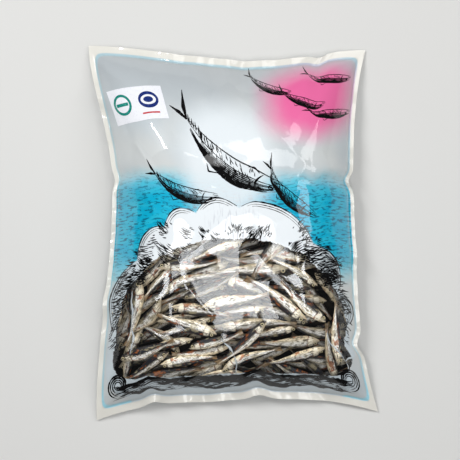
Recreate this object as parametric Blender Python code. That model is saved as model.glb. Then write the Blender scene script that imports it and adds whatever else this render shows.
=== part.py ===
"""A sealed film bag packed with dried anchovies, lying on its back with the window side up.

The bag is a front and a back sheet of film, welded together along a flat seal all round, and the
fish inside fill it out like a cushion. Units are metres. X runs across the bag, +Y points to its
top end, +Z is up, and the origin is on the table under the middle of the bag.
"""

import math
import random

import bmesh
import bpy
import numpy as np

# The flat bag: corner to corner, with the slight skew that it lies in
HALF_WIDTH = 0.1603
HALF_LENGTH = 0.2115
TOP_NARROWER = 0.0014
LEAN_LEFT = 0.0060
OFF_CENTRE_X = -0.0014
RIGHT_SIDE_SHORTER = 0.0037
RIGHT_SIDE_UP = 0.0023

# The seal, where the two sheets are one flat band
SIDE_SEAL = 0.007
END_SEAL = 0.011
SEAL_THICKNESS = 0.0012

# How far each edge is drawn in by the filling, and how evenly
LEFT_PULL = 0.0255
LEFT_PULL_PEAK = 0.27
RIGHT_PULL = 0.0215
TOP_PULL = 0.0150
TOP_PULL_PEAK = 0.20
BOTTOM_PULL = 0.0200
PLATEAU_POWER = 3.0
HUMP_POWER = 1.7

# How high the seal and the front sheet stand above the table
CORNER_HEIGHT = 0.0022
SIDE_SEAL_HEIGHT = 0.024
END_SEAL_HEIGHT = 0.011
SEAL_DROOP_POWER = 2.4
FRONT_RISE = 0.040
CROWN = 0.012
FULLEST_AT = 0.16
FRONT_SIDE_RADIUS = 0.082
FRONT_END_RADIUS = 0.135
BACK_DROP = 0.036
BACK_SIDE_RADIUS = 0.090
BACK_END_RADIUS = 0.120
ROLL_POWER = 2.2
ROLL_SHARPNESS = 0.62

# Folds that run in from the seal: (edge, place along it from -1 to 1, half-width, notch in the edge,
# rise of the ridge, reach inwards, sideways lean)
FOLDS = (
    ("bottom", -0.59, 0.011, 0.0050, 0.0075, 0.050, 0.15),
    ("bottom", 0.15, 0.013, 0.0055, 0.0060, 0.045, -0.10),
    ("bottom", 0.62, 0.012, 0.0000, -0.0040, 0.050, -0.30),
    ("bottom", -0.22, 0.015, -0.0020, -0.0040, 0.040, 0.05),
    ("top", 0.66, 0.010, 0.0045, 0.0060, 0.055, -0.45),
    ("top", -0.35, 0.016, 0.0010, 0.0035, 0.060, 0.35),
    ("top", 0.12, 0.015, 0.0010, -0.0030, 0.050, 0.00),
    ("left", 0.28, 0.010, 0.0035, 0.0050, 0.045, -0.35),
    ("left", -0.36, 0.014, -0.0020, 0.0030, 0.040, 0.30),
    ("left", 0.72, 0.012, 0.0005, 0.0045, 0.050, -0.60),
    ("right", 0.27, 0.009, 0.0060, 0.0055, 0.050, 0.25),
    ("right", -0.62, 0.011, 0.0070, 0.0060, 0.050, -0.30),
    ("right", -0.12, 0.016, -0.0010, 0.0030, 0.040, 0.20),
)

# Small puckers all along the seal: how high, how many on each edge, and their reach inwards
END_PUCKER = 0.0013
END_PUCKERS = 7.3
SIDE_PUCKER = 0.0010
SIDE_PUCKERS = 11.7
PUCKER_REACH = 0.032

# The film lies over the top fish, row upon row of them, and sinks into the gaps between them. It
# sinks most in the clear window, a dome with a flat foot in the lower half of the front.
FISH_LENGTH = 0.074
FISH_BREADTH = 0.0135
FISH_ROWS = 26
FISH_COLUMNS = 5
FISH_TURN = 17.0
SINK_IN_WINDOW = 0.0052
SINK_UNDER_PRINT = 0.0008
WINDOW_CENTRE = (0.0, -0.080)
WINDOW_REACH = (0.125, 0.078)
FISH_SEED = 11

# The mesh: columns and rows of each sheet, how much they crowd to the rim, and how much the rows
# crowd to the window
SHEET_COLUMNS = 46
SHEET_ROWS = 84
RIM_CROWDING = 0.22
WINDOW_CROWDING = 0.15

FILM_COLOUR = (0.78, 0.81, 0.83, 1.0)


def smooth_hump(place, peak, power):
    """1 at the peak and 0 at both ends of the edge, where place runs from -1 to 1."""
    side = np.where(place > peak, 1.0 - peak, 1.0 + peak)
    return np.cos(np.clip((place - peak) / side, -1.0, 1.0) * math.pi / 2) ** power


def plateau(place):
    """Nearly level along the edge, and 0 at both ends."""
    return 1.0 - np.abs(place) ** PLATEAU_POWER


def half_span(edge):
    """Half the length of that edge."""
    return HALF_WIDTH if edge in ("top", "bottom") else HALF_LENGTH


def notches(edge, place):
    """What the folds add to the pull of one edge."""
    total = np.zeros_like(place)
    for fold_edge, at, half_width, notch, _, _, _ in FOLDS:
        if fold_edge == edge:
            total += notch * np.exp(-(((place - at) * half_span(edge) / half_width) ** 2))
    return total


def plan(across, along):
    """Where a point of the film lies, seen from above. across and along run from -1 to 1."""
    half_width = HALF_WIDTH - along * TOP_NARROWER
    x = OFF_CENTRE_X - along * LEAN_LEFT + across * half_width
    y = along * (HALF_LENGTH - across * RIGHT_SIDE_SHORTER) + (across + 1) / 2 * RIGHT_SIDE_UP
    left = LEFT_PULL * smooth_hump(along, LEFT_PULL_PEAK, HUMP_POWER) + notches("left", along)
    right = RIGHT_PULL * plateau(along) + notches("right", along)
    top = TOP_PULL * smooth_hump(across, TOP_PULL_PEAK, HUMP_POWER) + notches("top", across)
    bottom = BOTTOM_PULL * plateau(across) + notches("bottom", across)
    x = x + left * (1 - across) / 2 - right * (1 + across) / 2
    y = y - top * (1 + along) / 2 + bottom * (1 - along) / 2
    return x, y


def roll(distance, radius):
    """How far the film has rolled up from the seal, from 0 at the seal to 1 past the radius."""
    share = np.clip(distance / radius, 0.0, 1.0)
    return (1 - (1 - share) ** ROLL_POWER) ** ROLL_SHARPNESS


def filling(across, along, side_radius, end_radius):
    """How full the bag is at a point, 0 on the seal and 1 in the middle."""
    to_side = (1 - np.abs(across)) * HALF_WIDTH - SIDE_SEAL
    to_end = (1 - np.abs(along)) * HALF_LENGTH - END_SEAL
    return roll(to_side, side_radius) * roll(to_end, end_radius)


def ridges(across, along):
    """How far the folds lift the film, strongest at the seal and fading inwards."""
    total = np.zeros_like(across)
    for edge, at, half_width, _, rise, reach, lean in FOLDS:
        if edge in ("top", "bottom"):
            place, inward, other = across, along, HALF_LENGTH
        else:
            place, inward, other = along, across, HALF_WIDTH
        sign = 1 if edge in ("top", "right") else -1
        depth = (1 - sign * inward) * other
        sideways = (place - at) * half_span(edge) - lean * depth
        width = half_width + 0.25 * depth
        total += rise * np.exp(-((sideways / width) ** 2) - (depth / reach) ** 1.5)
    return total


def puckers(across, along):
    """The small waves that the filling draws into the film beside the seal."""
    from_side = (1 - np.abs(across)) * HALF_WIDTH
    from_end = (1 - np.abs(along)) * HALF_LENGTH
    side_wave = np.sin(along * SIDE_PUCKERS * math.pi + 2 * np.sin(along * 4) + across)
    end_wave = np.sin(across * END_PUCKERS * math.pi + 2 * np.sin(across * 3) + along)
    at_sides = SIDE_PUCKER * side_wave * np.exp(-from_side / PUCKER_REACH) * (1 - along**4)
    at_ends = END_PUCKER * end_wave * np.exp(-from_end / PUCKER_REACH) * (1 - across**4)
    return at_sides + at_ends


def seal_height(across, along):
    """Height of the seal above the table, carried inwards as the bag's middle surface."""
    a, b = np.abs(across), np.abs(along)
    sides = SIDE_SEAL_HEIGHT * (1 - b**SEAL_DROOP_POWER) * a**2
    ends = END_SEAL_HEIGHT * (1 - a**SEAL_DROOP_POWER) * b**2
    middle = SIDE_SEAL_HEIGHT * (1 - a**2) * (1 - b**2)
    return CORNER_HEIGHT + sides + ends + middle + puckers(across, along)


def top_fish():
    """Middle, length and turn of each fish right under the front sheet."""
    draw = random.Random(FISH_SEED)
    fish = []
    for row in range(FISH_ROWS):
        for column in range(FISH_COLUMNS):
            shift = 0.5 * (row % 2)
            x = ((column + shift + draw.uniform(-0.3, 0.3)) / (FISH_COLUMNS - 0.5) * 2 - 1) * HALF_WIDTH
            y = ((row + 0.5 + draw.uniform(-0.35, 0.35)) / FISH_ROWS * 2 - 1) * HALF_LENGTH
            turn = math.radians(draw.gauss(4.0, FISH_TURN))
            fish.append((x, y, FISH_LENGTH * draw.uniform(0.85, 1.1), turn))
    return fish


def sunk_in_gaps(x, y):
    """How far the front sheet sinks between the fish at a point."""
    carried = np.zeros_like(x)
    for middle_x, middle_y, length, turn in top_fish():
        dx, dy = x - middle_x, y - middle_y
        lengthways = dx * math.cos(turn) + dy * math.sin(turn)
        crossways = -dx * math.sin(turn) + dy * math.cos(turn)
        along_body = np.clip(1 - (lengthways / (length / 2)) ** 2, 0.0, 1.0) ** 0.5
        across_body = np.clip(1 - (crossways / (FISH_BREADTH / 2 * along_body + 1e-6)) ** 2, 0.0, 1.0)
        carried = np.maximum(carried, along_body**0.5 * across_body**0.5)
    from_middle_x = (x - WINDOW_CENTRE[0]) / WINDOW_REACH[0]
    from_middle_y = (y - WINDOW_CENTRE[1]) / WINDOW_REACH[1]
    in_window = np.exp(-((from_middle_x**4 + from_middle_y**4) ** 2))
    return (1 - carried) * (SINK_UNDER_PRINT + (SINK_IN_WINDOW - SINK_UNDER_PRINT) * in_window)


def front_height(across, along):
    """Height of the front sheet above the table."""
    x, y = plan(across, along)
    fill = filling(across, along, FRONT_SIDE_RADIUS, FRONT_END_RADIUS)
    crown = (1 - across**2) * smooth_hump(along, FULLEST_AT, 1.0)
    rise = (FRONT_RISE + CROWN * crown - sunk_in_gaps(x, y)) * fill
    return seal_height(across, along) + SEAL_THICKNESS / 2 + rise + ridges(across, along)


def back_height(across, along):
    """Height of the back sheet, which lies flat on the table under the filling."""
    fill = filling(across, along, BACK_SIDE_RADIUS, BACK_END_RADIUS)
    hanging = seal_height(across, along) - SEAL_THICKNESS / 2 + ridges(across, along) - BACK_DROP * fill
    return np.maximum(hanging, 0.0)


def crowd_to_rim(place):
    """Draws the mesh lines together near the rim, where the film turns most."""
    return place + RIM_CROWDING * np.sin(place * math.pi) / math.pi


def crowd_to_window(place):
    """Draws the rows together in the lower half too, where the fish show."""
    return place + RIM_CROWDING * np.sin(place * math.pi) / math.pi + WINDOW_CROWDING * (place**2 - 1)


def add_sheet(bag, height):
    """Adds one sheet of film as a grid, and returns its vertices."""
    made = bmesh.ops.create_grid(bag, x_segments=SHEET_COLUMNS, y_segments=SHEET_ROWS, size=1.0)["verts"]
    flat = np.array([vertex.co for vertex in made])
    across, along = crowd_to_rim(flat[:, 0]), crowd_to_window(flat[:, 1])
    x, y = plan(across, along)
    z = height(across, along)
    for vertex, point in zip(made, np.stack([x, y, z], axis=1)):
        vertex.co = point
    return made


def rim_of(sheet):
    """The edges round the outside of a sheet."""
    return list({edge for vertex in sheet for edge in vertex.link_edges if edge.is_boundary})


def join_flat_underside(bag, back):
    """Joins the faces of the back sheet that lie on the table into one."""
    on_table = {vertex for vertex in back if vertex.co.z < 1e-7}
    flat_faces = [face for face in bag.faces if all(vertex in on_table for vertex in face.verts)]
    bmesh.ops.dissolve_faces(bag, faces=flat_faces, use_verts=True)


def centre_on_table(bag):
    """Moves the bag so that the origin is under the middle of its box, at table height."""
    points = np.array([vertex.co for vertex in bag.verts])
    middle = (points.min(axis=0) + points.max(axis=0)) / 2
    bmesh.ops.translate(bag, verts=bag.verts, vec=(-middle[0], -middle[1], -points[:, 2].min()))


def film_material():
    """Pale pearly film with a gloss."""
    material = bpy.data.materials.new("pale_film")
    material.use_nodes = True
    finish = material.node_tree.nodes["Principled BSDF"]
    finish.inputs["Base Color"].default_value = FILM_COLOUR
    finish.inputs["Roughness"].default_value = 0.25
    finish.inputs["Metallic"].default_value = 0.0
    return material


def make_bag(collection):
    """The bag as one solid out to its film: two sheets joined round the seal."""
    bag = bmesh.new()
    front = add_sheet(bag, front_height)
    back = add_sheet(bag, back_height)
    bmesh.ops.bridge_loops(bag, edges=rim_of(front) + rim_of(back))
    join_flat_underside(bag, back)
    bmesh.ops.recalc_face_normals(bag, faces=bag.faces)
    centre_on_table(bag)
    mesh = bpy.data.meshes.new("bag")
    bag.to_mesh(mesh)
    bag.free()
    mesh.materials.append(film_material())
    mesh.shade_smooth()
    collection.objects.link(bpy.data.objects.new("bag", mesh))


def main():
    for leftover in list(bpy.data.objects):
        bpy.data.objects.remove(leftover)
    collection = bpy.data.collections.new("dried_anchovy_bag")
    bpy.context.scene.collection.children.link(collection)
    make_bag(collection)


main()
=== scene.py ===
import math
import random

import bmesh
import bpy
import numpy as np
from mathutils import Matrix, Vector, noise


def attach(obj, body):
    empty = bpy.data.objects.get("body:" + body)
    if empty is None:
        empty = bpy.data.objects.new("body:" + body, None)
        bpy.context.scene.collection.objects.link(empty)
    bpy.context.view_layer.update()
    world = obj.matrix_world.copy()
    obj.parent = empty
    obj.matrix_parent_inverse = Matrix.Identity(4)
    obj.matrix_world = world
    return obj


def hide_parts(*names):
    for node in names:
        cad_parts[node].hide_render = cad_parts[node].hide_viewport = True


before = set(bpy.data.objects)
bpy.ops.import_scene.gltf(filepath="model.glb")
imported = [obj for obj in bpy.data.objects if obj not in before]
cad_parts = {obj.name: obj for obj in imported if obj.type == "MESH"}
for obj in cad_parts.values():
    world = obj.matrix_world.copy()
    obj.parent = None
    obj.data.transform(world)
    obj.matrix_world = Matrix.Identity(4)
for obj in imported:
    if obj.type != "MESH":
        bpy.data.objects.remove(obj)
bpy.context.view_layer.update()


# The filled bag. Two rectangles of printed film are welded together all round and packed with
# dried fish, which draw the edges in and leave soft folds beside the seal. These rules give where
# each point of the flat film ends up; across and along run from -1 to 1 over the flat film.

HALF_WIDTH = 0.1603
HALF_LENGTH = 0.2115
SIDE_SEAL = 0.007
END_SEAL = 0.011
SEAL_THICKNESS = 0.0012

# How far in from the seal the films have rolled up: from the sides, and from the ends
FRONT_ROLL = (0.082, 0.135)
BACK_ROLL = (0.090, 0.120)

# How far the filling pulls each edge in, and how high it lifts the seal, the front and the back
LEFT_PULL, RIGHT_PULL, TOP_PULL, BOTTOM_PULL = 0.0255, 0.0215, 0.0150, 0.0200
CORNER_LIFT, SIDE_LIFT, END_LIFT, MIDDLE_LIFT = 0.0022, 0.024, 0.011, 0.024
FRONT_RISE, CROWN_RISE, BACK_DROP = 0.040, 0.012, 0.036
SIDE_PUCKER, END_PUCKER, PUCKER_REACH = 0.0010, 0.0013, 0.032

# Folds that run in from the seal: (edge, place along it from -1 to 1, half-width, notch in the edge,
# rise of the ridge, reach inwards, sideways lean)
FOLDS = (
    ("bottom", -0.59, 0.011, 0.0050, 0.0075, 0.050, 0.15),
    ("bottom", 0.15, 0.013, 0.0055, 0.0060, 0.045, -0.10),
    ("bottom", 0.62, 0.012, 0.0000, -0.0040, 0.050, -0.30),
    ("bottom", -0.22, 0.015, -0.0020, -0.0040, 0.040, 0.05),
    ("top", 0.66, 0.010, 0.0045, 0.0060, 0.055, -0.45),
    ("top", -0.35, 0.016, 0.0010, 0.0035, 0.060, 0.35),
    ("top", 0.12, 0.015, 0.0010, -0.0030, 0.050, 0.00),
    ("left", 0.28, 0.010, 0.0035, 0.0050, 0.045, -0.35),
    ("left", -0.36, 0.014, -0.0020, 0.0030, 0.040, 0.30),
    ("left", 0.72, 0.012, 0.0005, 0.0045, 0.050, -0.60),
    ("right", 0.27, 0.009, 0.0060, 0.0055, 0.050, 0.25),
    ("right", -0.62, 0.011, 0.0070, 0.0060, 0.050, -0.30),
    ("right", -0.12, 0.016, -0.0010, 0.0030, 0.040, 0.20),
)


def half_span(edge):
    """Half the length of that edge."""
    return HALF_WIDTH if edge in ("top", "bottom") else HALF_LENGTH


def smooth_hump(place, peak, power):
    """1 at the peak and 0 at both ends of the edge."""
    side = np.where(place > peak, 1.0 - peak, 1.0 + peak)
    return np.cos(np.clip((place - peak) / side, -1.0, 1.0) * math.pi / 2) ** power


def notches(edge, place):
    """What the folds add to the pull of one edge."""
    total = np.zeros_like(place)
    for fold_edge, at, half_width, notch, _, _, _ in FOLDS:
        if fold_edge == edge:
            total += notch * np.exp(-(((place - at) * half_span(edge) / half_width) ** 2))
    return total


def plan(across, along):
    """Where a point of the film lies, seen from above."""
    top_narrower, lean_left, off_centre = 0.0014, 0.0060, -0.0014
    right_shorter, right_up = 0.0037, 0.0023
    x = off_centre - along * lean_left + across * (HALF_WIDTH - along * top_narrower)
    y = along * (HALF_LENGTH - across * right_shorter) + (across + 1) / 2 * right_up
    left = LEFT_PULL * smooth_hump(along, 0.27, 1.7) + notches("left", along)
    right = RIGHT_PULL * (1 - np.abs(along) ** 3) + notches("right", along)
    top = TOP_PULL * smooth_hump(across, 0.20, 1.7) + notches("top", across)
    bottom = BOTTOM_PULL * (1 - np.abs(across) ** 3) + notches("bottom", across)
    x = x + left * (1 - across) / 2 - right * (1 + across) / 2
    y = y - top * (1 + along) / 2 + bottom * (1 - along) / 2
    return x, y


def roll(distance, radius):
    """How far the film has rolled up from the seal, from 0 at the seal to 1 past the radius."""
    share = np.clip(distance / radius, 0.0, 1.0)
    return (1 - (1 - share) ** 2.2) ** 0.62


def filling(across, along, side_radius, end_radius):
    """How full the bag is at a point, 0 on the seal and 1 in the middle."""
    to_side = (1 - np.abs(across)) * HALF_WIDTH - SIDE_SEAL
    to_end = (1 - np.abs(along)) * HALF_LENGTH - END_SEAL
    return roll(to_side, side_radius) * roll(to_end, end_radius)


def ridges(across, along):
    """How far the folds lift the film, strongest at the seal and fading inwards."""
    total = np.zeros_like(across)
    for edge, at, half_width, _, rise, reach, lean in FOLDS:
        if edge in ("top", "bottom"):
            place, inward, other = across, along, HALF_LENGTH
        else:
            place, inward, other = along, across, HALF_WIDTH
        sign = 1 if edge in ("top", "right") else -1
        depth = np.maximum((1 - sign * inward) * other, 0.0)
        sideways = (place - at) * half_span(edge) - lean * depth
        width = half_width + 0.25 * depth
        total += rise * np.exp(-((sideways / width) ** 2) - (depth / reach) ** 1.5)
    return total


def puckers(across, along):
    """The small waves that the filling draws into the film beside the seal."""
    from_side = (1 - np.abs(across)) * HALF_WIDTH
    from_end = (1 - np.abs(along)) * HALF_LENGTH
    side_wave = np.sin(along * 11.7 * math.pi + 2 * np.sin(along * 4) + across)
    end_wave = np.sin(across * 7.3 * math.pi + 2 * np.sin(across * 3) + along)
    at_sides = SIDE_PUCKER * side_wave * np.exp(-from_side / PUCKER_REACH) * (1 - along**4)
    at_ends = END_PUCKER * end_wave * np.exp(-from_end / PUCKER_REACH) * (1 - across**4)
    return at_sides + at_ends


def seal_height(across, along):
    """Height of the seal above the table, carried inwards as the bag's middle surface."""
    a, b = np.abs(across), np.abs(along)
    sides = SIDE_LIFT * (1 - b**2.4) * a**2
    ends = END_LIFT * (1 - a**2.4) * b**2
    middle = MIDDLE_LIFT * (1 - a**2) * (1 - b**2)
    return CORNER_LIFT + sides + ends + middle + puckers(across, along)


def front_height(across, along):
    """Height of the front film above the table, before the fish press into it."""
    crown = (1 - across**2) * smooth_hump(along, 0.16, 1.0)
    rise = (FRONT_RISE + CROWN_RISE * crown) * filling(across, along, *FRONT_ROLL)
    return seal_height(across, along) + rise + ridges(across, along)


def back_height(across, along):
    """Height of the back film, which lies flat on the table under the filling."""
    drop = BACK_DROP * filling(across, along, *BACK_ROLL)
    return np.maximum(seal_height(across, along) + ridges(across, along) - drop, 0.0)


def on_flat_film(x, y):
    """Which point of the flat film lies over a place on the table."""
    across, along = x / HALF_WIDTH, y / HALF_LENGTH
    for _ in range(25):
        at_x, at_y = plan(across, along)
        across = np.clip(across + 0.9 * (x - at_x) / HALF_WIDTH, -1.0, 1.0)
        along = np.clip(along + 0.9 * (y - at_y) / HALF_LENGTH, -1.0, 1.0)
    return across, along


# One dried anchovy. A slim fish of about 80 mm, boiled and sun-dried whole: the flanks have sunk in
# along the backbone, the skin has shrivelled lengthways, and the tail has closed to a stub. Each
# kind is one closed loft from snout to tail with its two eyes, bent and shrivelled its own way.

FISH_LENGTH = 0.079
RINGS = 44
AROUND = 16
GILL_AT = 0.215
EYE_AT = 0.075
EYE_UP = 0.020
EYE_OUT = 0.0395
EYE_RADIUS = 0.024
EYE_SPOKES = 12

# The outline, in shares of the length: (place, back above the middle, belly below it, half thickness)
OUTLINE = (
    (0.00, 0.008, 0.008, 0.005),
    (0.03, 0.036, 0.032, 0.024),
    (0.09, 0.066, 0.064, 0.043),
    (0.16, 0.082, 0.090, 0.052),
    (0.21, 0.088, 0.102, 0.052),
    (0.32, 0.096, 0.114, 0.056),
    (0.45, 0.094, 0.108, 0.051),
    (0.60, 0.078, 0.082, 0.038),
    (0.75, 0.054, 0.052, 0.024),
    (0.86, 0.035, 0.034, 0.013),
    (0.92, 0.038, 0.038, 0.006),
    (1.00, 0.062, 0.062, 0.003),
)
STATIONS, BACK_LINE, BELLY_LINE, HALF_THICK = np.array(OUTLINE).T

# The eye's dome, from its middle outwards: (radius, height, how much it is pupil), radius and height
# in shares of the eye
EYE_RINGS = ((0.0, 0.16, 1.0), (0.50, 0.10, 1.0), (0.72, -0.04, 0.6), (0.90, 0.10, 0.5), (1.15, -0.32, 0.1))


def smoothstep(low, high, value):
    """0 below low, 1 above high, and a soft step between."""
    share = np.clip((value - low) / (high - low), 0.0, 1.0)
    return share * share * (3 - 2 * share)


def dip(value, middle, width):
    """1 at the middle, fading to nothing within a few widths."""
    return np.exp(-(((value - middle) / width) ** 2))


def flowing(values, places):
    """A smooth curve through the stations' values, read at the places."""
    slopes = np.gradient(values, STATIONS)
    span = np.clip(np.searchsorted(STATIONS, places, side="right") - 1, 0, len(STATIONS) - 2)
    step = STATIONS[span + 1] - STATIONS[span]
    t = (places - STATIONS[span]) / step
    near = (2 * t**3 - 3 * t**2 + 1) * values[span] + (t**3 - 2 * t**2 + t) * step * slopes[span]
    far = (3 * t**2 - 2 * t**3) * values[span + 1] + (t**3 - t**2) * step * slopes[span + 1]
    return near + far


def wrinkle(place, around, seed):
    """Uneven shrinking of the skin, -1 to 1, drawn out along the fish."""
    spot = Vector((place * 7.0, math.cos(around) * 1.6, math.sin(around) * 1.6 + seed * 7.3))
    fine = Vector((place * 16.0, math.cos(around) * 4.0, math.sin(around) * 4.0 + seed * 3.1))
    return 0.65 * noise.noise(spot) + 0.35 * noise.noise(fine)


def dried_curve(x, bend, sway, arch):
    """How far the fish has curled at x: towards its back, and out of its side."""
    along = x * 2
    return bend * (along**2 - 0.33) + sway * (along**3 - along * 0.6), -arch * (along**2 - 0.33)


def flank_shape(t, phi, plump, tail, seed):
    """The fish before it curls: its x, y and z for each share of the length and turn round it."""
    up, side = np.sin(phi), np.cos(phi)
    fan = smoothstep(0.88, 1.0, t)
    height = np.where(up > 0, flowing(BACK_LINE, t), flowing(BELLY_LINE, t))
    height *= (plump + (1 - plump) * fan) * (1 - fan * (1 - tail))
    thick = flowing(HALF_THICK, t) * (1 - 0.30 * np.clip(-up, 0, 1) ** 2)
    flank = smoothstep(0.22, 0.34, t) * (1 - smoothstep(0.78, 0.90, t))
    thick *= 1 - 0.34 * flank * dip(up, -0.30, 0.22)
    thick *= 1 - 0.16 * flank * dip(up, 0.42, 0.14)
    behind_gill = t - (GILL_AT - 0.030 * up**2)
    thick *= 1 + 0.16 * smoothstep(0.10, 0.16, t) * (1 - smoothstep(0.0, 0.012, behind_gill))
    thick *= 1 - 0.22 * dip(t, EYE_AT, 0.030) * dip(up, 0.28, 0.45)
    shrunk = np.vectorize(wrinkle)(t, phi, float(seed))
    shrivel = smoothstep(0.10, 0.30, t) * (1 - 0.8 * fan)
    height *= 1 + 0.10 * shrivel * shrunk
    thick *= 1 + (0.20 + 0.55 * shrivel) * shrunk
    x = t - 0.5 + 0.035 * fan * (np.abs(up) - 0.4) * tail
    y = height * np.sign(up) * np.abs(up) ** 0.9
    z = thick * np.sign(side) * np.abs(side) ** 0.85 + 0.018 * fan * np.sin(phi * 2 + seed)
    return x, y, z


def disc_faces(first, spokes, rings):
    """The faces of a disc whose points run from its middle outwards, ring after ring."""
    faces = []
    for spoke in range(spokes):
        beside = (spoke + 1) % spokes
        faces.append((first, first + 1 + spoke, first + 1 + beside))
        for ring in range(rings - 1):
            inner = first + 1 + ring * spokes
            outer = inner + spokes
            faces.append((inner + spoke, outer + spoke, outer + beside, inner + beside))
    return faces


def eye(facing, first, curl, plump):
    """A sunken eye: a pale ring with a dark dome in it. Its points with their marks, and its faces."""
    x = EYE_AT - 0.5
    lift, out = dried_curve(x, *curl)
    y, z = EYE_UP * plump + lift, facing * EYE_OUT + out
    dome = []
    for radius, height, mark in EYE_RINGS:
        for spoke in range(1 if radius == 0.0 else EYE_SPOKES):
            turn = spoke / EYE_SPOKES * 2 * math.pi
            aside, above = (radius * EYE_RADIUS * way for way in (math.cos(turn), math.sin(turn)))
            dome.append((x + aside, y + above, z + facing * height * EYE_RADIUS, mark, EYE_AT, 0.2))
    rim = first + len(dome) - EYE_SPOKES
    underside = tuple(rim + spoke for spoke in range(EYE_SPOKES))
    return dome, disc_faces(first, EYE_SPOKES, len(EYE_RINGS) - 1) + [underside]


def anchovy(name, bend, sway, arch, plump, tail, seed):
    """One kind of dried fish, lying on its side with its snout to -X and its back to +Y."""
    share = np.linspace(0.0, 1.0, RINGS) ** 1.2
    turn = np.arange(AROUND) / AROUND * 2 * math.pi
    t, phi = np.meshgrid(share, turn, indexing="ij")
    x, y, z = flank_shape(t, phi, plump, tail, seed)
    lift, out = dried_curve(x, bend, sway, arch)
    skin = np.stack([x, y + lift, z + out, np.zeros_like(t), t, np.sin(phi)], axis=-1).reshape(-1, 6)
    snout = (*(skin[:AROUND, :3].mean(axis=0) - (0.004, 0, 0)), 0.0, 0.0, 0.0)
    stub = (*skin[-AROUND:, :3].mean(axis=0), 0.0, 1.0, 0.0)
    skin = np.vstack([skin, snout, stub])
    last = (RINGS - 1) * AROUND
    faces = []
    for ring in range(RINGS - 1):
        for step in range(AROUND):
            here, beside = ring * AROUND + step, ring * AROUND + (step + 1) % AROUND
            faces.append((here, beside, beside + AROUND, here + AROUND))
    for step in range(AROUND):
        beside = (step + 1) % AROUND
        faces.append((beside, step, len(skin) - 2))
        faces.append((last + step, last + beside, len(skin) - 1))
    for facing in (1, -1):
        dome, dome_faces = eye(facing, len(skin), (bend, sway, arch), plump)
        skin = np.vstack([skin, dome])
        faces += dome_faces
    made = new_object(name, skin[:, :3] * FISH_LENGTH, faces)
    for attribute, values in zip(("mark", "lengthways", "backness"), skin[:, 3:].T):
        made.data.attributes.new(attribute, "FLOAT", "POINT").data.foreach_set("value", values)
    recalculate_outwards(made.data)
    made.data.shade_smooth()
    return made


def new_object(name, points=(), faces=()):
    """An object in the scene with a mesh of its own."""
    mesh = bpy.data.meshes.new(name)
    mesh.from_pydata(np.array(points, float).tolist(), [], faces)
    return in_scene(name, mesh)


def in_scene(name, data):
    """An object in the scene, from its mesh, light or camera."""
    made = bpy.data.objects.new(name, data)
    bpy.context.scene.collection.objects.link(made)
    return made


def recalculate_outwards(mesh):
    """Turns the faces of every closed shell outwards."""
    shell = bmesh.new()
    shell.from_mesh(mesh)
    bmesh.ops.recalc_face_normals(shell, faces=shell.faces)
    shell.to_mesh(mesh)
    shell.free()


# The kinds: (name, bend, sway, arch, plumpness, width of the tail, seed)
kinds = [
    anchovy("straight_anchovy", 0.010, 0.010, 0.010, 1.00, 0.55, 1),
    anchovy("arched_anchovy", -0.055, 0.010, 0.020, 0.92, 0.75, 2),
    anchovy("hooked_anchovy", 0.095, -0.020, 0.015, 0.95, 0.45, 3),
    anchovy("swayed_anchovy", 0.015, 0.060, 0.012, 0.88, 0.90, 4),
    anchovy("plump_anchovy", -0.020, -0.025, 0.018, 1.12, 0.60, 5),
    anchovy("slim_anchovy", 0.035, 0.020, 0.008, 0.78, 0.70, 6),
    anchovy("curled_anchovy", -0.105, -0.015, 0.030, 0.90, 0.50, 7),
    anchovy("shrunk_anchovy", 0.050, -0.050, 0.022, 0.84, 0.80, 8),
]


# The pile of fish behind the window. Loose fish settle mostly level across the bag, pressed up
# against the film, with others wedged below them. Each is tried in many places and takes the one
# where it lies nearest to the film without passing through a fish that is already there.

# The map of heights that the fish are laid on: its cells' size, its low corner and its cells each way
CELL = 0.0015
PILE_LOW = (-0.165, -0.205)
PILE_CELLS = (220, 150)

# Fish offered one after another, of which 184 find room, and the places tried for each
FISH_OFFERED = 460
TRIES = 26
PILE_SEED = 23
FEWEST_BARE_CELLS = 40
THIN_PILE = 0.009
PRESSED_IN = 0.0012
FILM_GAP = 0.0006
TABLE_GAP = 0.002

# The clear window on the flat film, in metres, and how far past its edge fish are wanted and allowed
COVERED_REACH = 1.06
LAID_REACH = 1.10
WINDOW_MIDDLE = 0.001
WINDOW_HALF_WIDTH = 0.143
WINDOW_TOP = -0.010
WINDOW_BOTTOM = -0.176
WINDOW_WAIST = -0.115

# How far a fish leans with the dome, in degrees, and how fish stand up at the sides of the window
DOME_LEAN = -38.0
DOME_FROM, DOME_FULL = -0.150, -0.050
UPRIGHT_FROM = 0.108
UPRIGHT_SHARE = 0.65
UPRIGHT_LEAN = (62.0, 88.0)
USUAL_LEAN = 6.0
LEAN_SPREAD = 19.0
TIP_SPREAD = 15.0
TIPPED_SHARE = 0.14
TIPPED_BY = 60.0
PITCH_SPREAD = 2.0
SMALLEST, LARGEST = 0.78, 1.15
HIDDEN_COST = 0.010

# How far a fish is shifted from the bare cell, and the half spans over which it follows the film
SHIFT = 0.025
LENGTH_SPAN, HEIGHT_SPAN = 0.022, 0.006

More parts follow.
